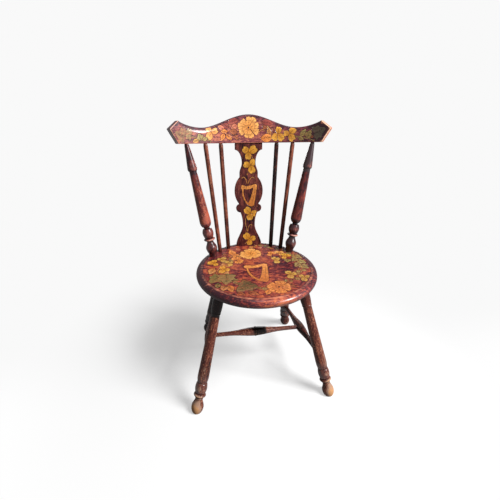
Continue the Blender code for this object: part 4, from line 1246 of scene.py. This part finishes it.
# the left end has a hazy, half rubbed off drawing, and shines
bentCrestRail = makeBoard("bentCrestRail", "crest_rail", crestWood, {
    "place": crestPlace, "outline": crestLoop,
    "rings": roundEdge(crest["edge"], crest["thickness"], 5, crest["wear"]),
    "lines": crestLines(crestLoop), "guides": crestGuides(), "design": drawCrest(), "grain": (1, 2, 0),
    "wear": crestWear, "tone": crestToneAndShade,
    "thin": lambda spot: crest["thin"] + crest["leftThin"] * climb(-spot[0], *crest["thinEnd"]),
    "polish": lambda spot: crest["leftPolish"] * climb(-spot[0], *crest["polishEnd"])})

# splat
splat = dict(backRadius=170.6, height=413, span=373.16, thickness=9, edge=1.5, corner=2.2, margin=2.7, foot=48,
             waist=22.2, waistAt=84, lobe=15.5, lobeOut=31, lobeAt=146.5, boss=51, bossTall=64, bossAt=208.6,
             step=32.5, stepLength=14, neck=23.9, neckAt=307.16, head=47.5, headAt=351.16, edgeWear=0.5,
             wear=0.6, thin=0.12)


def splatPlace(u, v, forward):
    foot = Vector((u, splat["backRadius"] - forward, splat["height"]))
    head = Vector(crest["base"]) + Vector((u, -forward * cos(crestLean), forward * sin(crestLean)))
    return foot.lerp(head, v / splat["span"]) / 1000


def bossHalf(v):
    return splat["boss"] * sqrt(max(0.0, 1 - ((v - splat["bossAt"]) / splat["bossTall"]) ** 2))


def swing(part):
    return (1 - cos(pi * part)) / 2


def splatHalf():
    # right half of the fretted outline, from the seat up
    waist, waistAt, lobe, lobeOut, lobeAt, neck, neckAt, head, step = (splat[key] for key in (
        "waist", "waistAt", "lobe", "lobeOut", "lobeAt", "neck", "neckAt", "head", "step"))
    points = [(mix(splat["foot"], waist, swing(part)), waistAt * part) for part in parts(12, 0)]
    points += [(mix(waist, lobeOut, part ** 2), mix(waistAt, lobeAt - lobe, part)) for part in parts(10)[:-1]]
    for part in parts(28, 0):
        angle = pi * part - pi / 2
        half, v = lobeOut + lobe * cos(angle), lobeAt + lobe * sin(angle)
        if angle > 0 and half < bossHalf(v) + 0.3:
            break
        points.append((half, v))
    low, high = lobeAt + lobe, splat["bossAt"] + splat["bossTall"] * sqrt(1 - (step / splat["boss"]) ** 2)
    heights = [mix(low, high, swing(part)) for part in parts(24, 0)]
    points += [(bossHalf(v), v) for v in heights]
    stepTop = high + splat["stepLength"]
    points += [(mix(step, neck, swing(part)), mix(stepTop, neckAt, part)) for part in parts(12, 0)]
    points += [(mix(head, neck, cos(pi / 2 * part)), mix(neckAt, splat["headAt"], sin(pi / 2 * part)))
               for part in parts(10)]
    return [Vector(point) for point in points + [(head, splat["span"])]]


splatSide = splatHalf()


def splatHalfAt(v):
    return next(mix(low.x, high.x, (v - low.y) / max(1e-6, high.y - low.y))
                for low, high in zip(splatSide, splatSide[1:]) if v <= high.y)


def splatInside(point):
    margin, span = splat["margin"], splat["span"]
    v = max(margin, min(span - margin, point.y))
    limit = min(splatHalfAt(max(0.0, min(span, v + shift))) for shift in (-3, -1.5, 0, 1.5, 3)) - margin
    return Vector((max(-limit, min(limit, point.x)), v))


def drawSplat():
    design = Design(splatInside)
    drawAll(design, drawStroke,
            ([(-4, 124), (-12, 106), (-13, 90), (-8, 66), (-6, 48)], 2.0, "tan"),
            ([(-5, 58), (-2, 72), (3, 82), (9, 84), (11, 78)], 2.0, "tan"),
            ([(6, 300), (2, 286), (-4, 274)], 2.0, "tan"))
    drawAll(design, drawTrefoil,
            ((1, 343), [(-20, 357), (27, 358), (-4, 319)], "gold", [(10, 332), (15, 322)]),
            ((5, 298), [(22, 318), (-18, 304), (15, 272)], "gold"))
    drawAll(design, drawStroke,
            ([(-6, 236), (-9, 248), (-16, 258), (-22, 259), (-25, 255)], 2.6, "tan"),
            ([(-3, 236), (2, 248), (9, 256), (16, 257), (19, 252)], 2.6, "tan"),
            ([(-5, 266), (-5, 272)], 4.0, "tan", 0.5))
    drawHarp(design, (0, 193), 57, 80)
    drawAll(design, drawTrefoil,
            ((5, 126), [(-14, 147), (31, 126), (3, 101)], "gold"),
            ((2, 26), [(-17, 48), (25, 31), (3, 2)], "gold", [(-6, 18), (-15, 8)]))
    return design


splatLoop = anticlockwise(splatSide + [Vector((-point.x, point.y)) for point in reversed(splatSide)])
makeBoard("frettedSplat", "splat", splatWood, {
    "place": splatPlace, "outline": roundCorners(splatLoop, splat["corner"], 0.9),
    "rings": roundEdge(splat["edge"], splat["thickness"], 4, splat["edgeWear"]), "design": drawSplat(),
    "grain": (0, 2, 1), "wear": lambda spot: splat["wear"], "thin": lambda spot: splat["thin"]})
print("boards made")

# floor, light and camera
studio = dict(floorSize=30, floorColour=0.95, bounce=0.14, white=0.947, fadeFrom=0.30, fadeTo=0.90, lift=0.52,
              whiteFrom=-0.2, whiteTo=0.2, ambient=0.08, middle=(0, 0, 0.45))


def rayWhite(n):
    path = n.put("ShaderNodeLightPath").outputs
    seen = n.calc("MAXIMUM", path["Is Camera Ray"], path["Is Glossy Ray"])
    return n.calc("MAXIMUM", seen, path["Is Transmission Ray"])


def mixShaders(n, factor, first, second, output):
    mixed = n.put("ShaderNodeMixShader", None, {0: factor, 1: first.outputs[0], 2: second.outputs[0]})
    n.link(mixed.outputs[0], n.tree.nodes[output].inputs["Surface"])


def makeFloor():
    half = studio["floorSize"] / 2
    mesh = bpy.data.meshes.new("floor")
    corners = [(-half, -half, 0), (half, -half, 0), (half, half, 0), (-half, half, 0)]
    mesh.from_pydata(corners, [], [(0, 1, 2, 3)])
    material, n, shader = newMaterial("pale floor")
    n.tree.nodes.remove(shader)
    place = n.put("ShaderNodeTexCoord").outputs["Object"]
    away = n.put("ShaderNodeVectorMath", {"operation": "LENGTH"}, {0: place}).outputs["Value"]
    far = n.ramp(away, studio["fadeFrom"], studio["fadeTo"], studio["lift"], 1.0)
    seen = rayWhite(n)
    shade = n.scaled(seen, studio["floorColour"] - studio["bounce"], studio["bounce"])
    pale = n.put("ShaderNodeBsdfDiffuse", None, {"Color": shade})
    depth = n.put("ShaderNodeSeparateXYZ", None, {0: place}).outputs["Y"]
    tint = n.ramp(depth, studio["whiteFrom"], studio["whiteTo"], 1.0, studio["white"])
    white = n.put("ShaderNodeEmission", None, {"Color": tint})
    mixShaders(n, n.times(far, seen), pale, white, "Material Output")
    mesh.materials.append(material)
    floor = bpy.data.objects.new("floor", mesh)
    scene.collection.objects.link(floor)
    return floor


def makeWorld():
    scene.world = bpy.data.worlds.new("studio")
    scene.world.use_nodes = True
    n = Nodes(scene.world.node_tree)
    dim = n.tree.nodes["Background"]
    dim.inputs["Color"].default_value = (1, 1, 1, 1)
    dim.inputs["Strength"].default_value = studio["ambient"]
    white = n.put("ShaderNodeBackground", None, {"Color": (studio["white"],) * 3 + (1,), "Strength": 1.0})
    mixShaders(n, rayWhite(n), dim, white, "World Output")


lamps = {"key": {"from": (2.556, -1.926, 2.36), "size": (0.15, 0.15), "power": 235, "lights": "chair"},
         "sash": {"from": (2.45, -2.05, 2.36), "size": (3.2, 0.06), "power": 56, "lights": "boards"},
         "overhead": {"from": (0.25, -0.25, 3.2), "size": (0.8, 0.8), "power": 28, "lights": "chair"},
         "behind": {"from": (0.55, 2.9, 0.4), "size": (1.6, 0.5), "power": 40, "lights": "chair"},
         "sky": {"from": (2.06, -1.24, 2.96), "size": (1.4, 1.4), "power": 205, "lights": "floor"}}


def makeLamps(floor, boards):
    # the floor has a lamp of its own, so that its shadow stays soft under a smaller key, and the boards a strip
    groups = {"floor": ([floor], "INCLUDE"), "chair": ([floor], "EXCLUDE"), "boards": (boards, "INCLUDE")}
    reach = {}
    for name, (items, state) in groups.items():
        reach[name] = bpy.data.collections.new(name + " lamps")
        for item in items:
            reach[name].objects.link(item)
        for entry in reach[name].collection_objects:
            entry.light_linking.link_state = state
    for name, lamp in lamps.items():
        data = bpy.data.lights.new(name, "AREA")
        data.shape = "RECTANGLE"
        data.size, data.size_y = lamp["size"]
        data.energy = lamp["power"]
        item = bpy.data.objects.new(name, data)
        item.location = lamp["from"]
        item.rotation_euler = (Vector(studio["middle"]) - item.location).to_track_quat("-Z", "Y").to_euler()
        item.light_linking.receiver_collection = reach[lamp["lights"]]
        scene.collection.objects.link(item)


view = dict(target=(-0.01307, 0.06389, 0.44549), distance=1.14173, azimuth=-9.4413, elevation=26.7282,
            roll=0.7439, lens=23.463, sensor=36, near=0.01)


def makeCamera():
    azimuth, elevation, roll = (radians(view[key]) for key in ("azimuth", "elevation", "roll"))
    back = Vector((sin(azimuth) * cos(elevation), -cos(azimuth) * cos(elevation), sin(elevation)))
    right = (-back).cross(up).normalized()
    above = right.cross(-back)
    across, rise = right * cos(roll) + above * sin(roll), above * cos(roll) - right * sin(roll)
    data = bpy.data.cameras.new("camera")
    data.sensor_width, data.lens, data.clip_start = view["sensor"], view["lens"], view["near"]
    camera = bpy.data.objects.new("camera", data)
    turn = Matrix((across, rise, back)).transposed().to_4x4()
    camera.matrix_world = Matrix.Translation(Vector(view["target"]) + back * view["distance"]) @ turn
    scene.collection.objects.link(camera)
    scene.camera = camera


makeWorld()
makeLamps(makeFloor(), [plankSeat, bentCrestRail])
makeCamera()
scene.view_settings.view_transform = "Standard"
print("stage made")
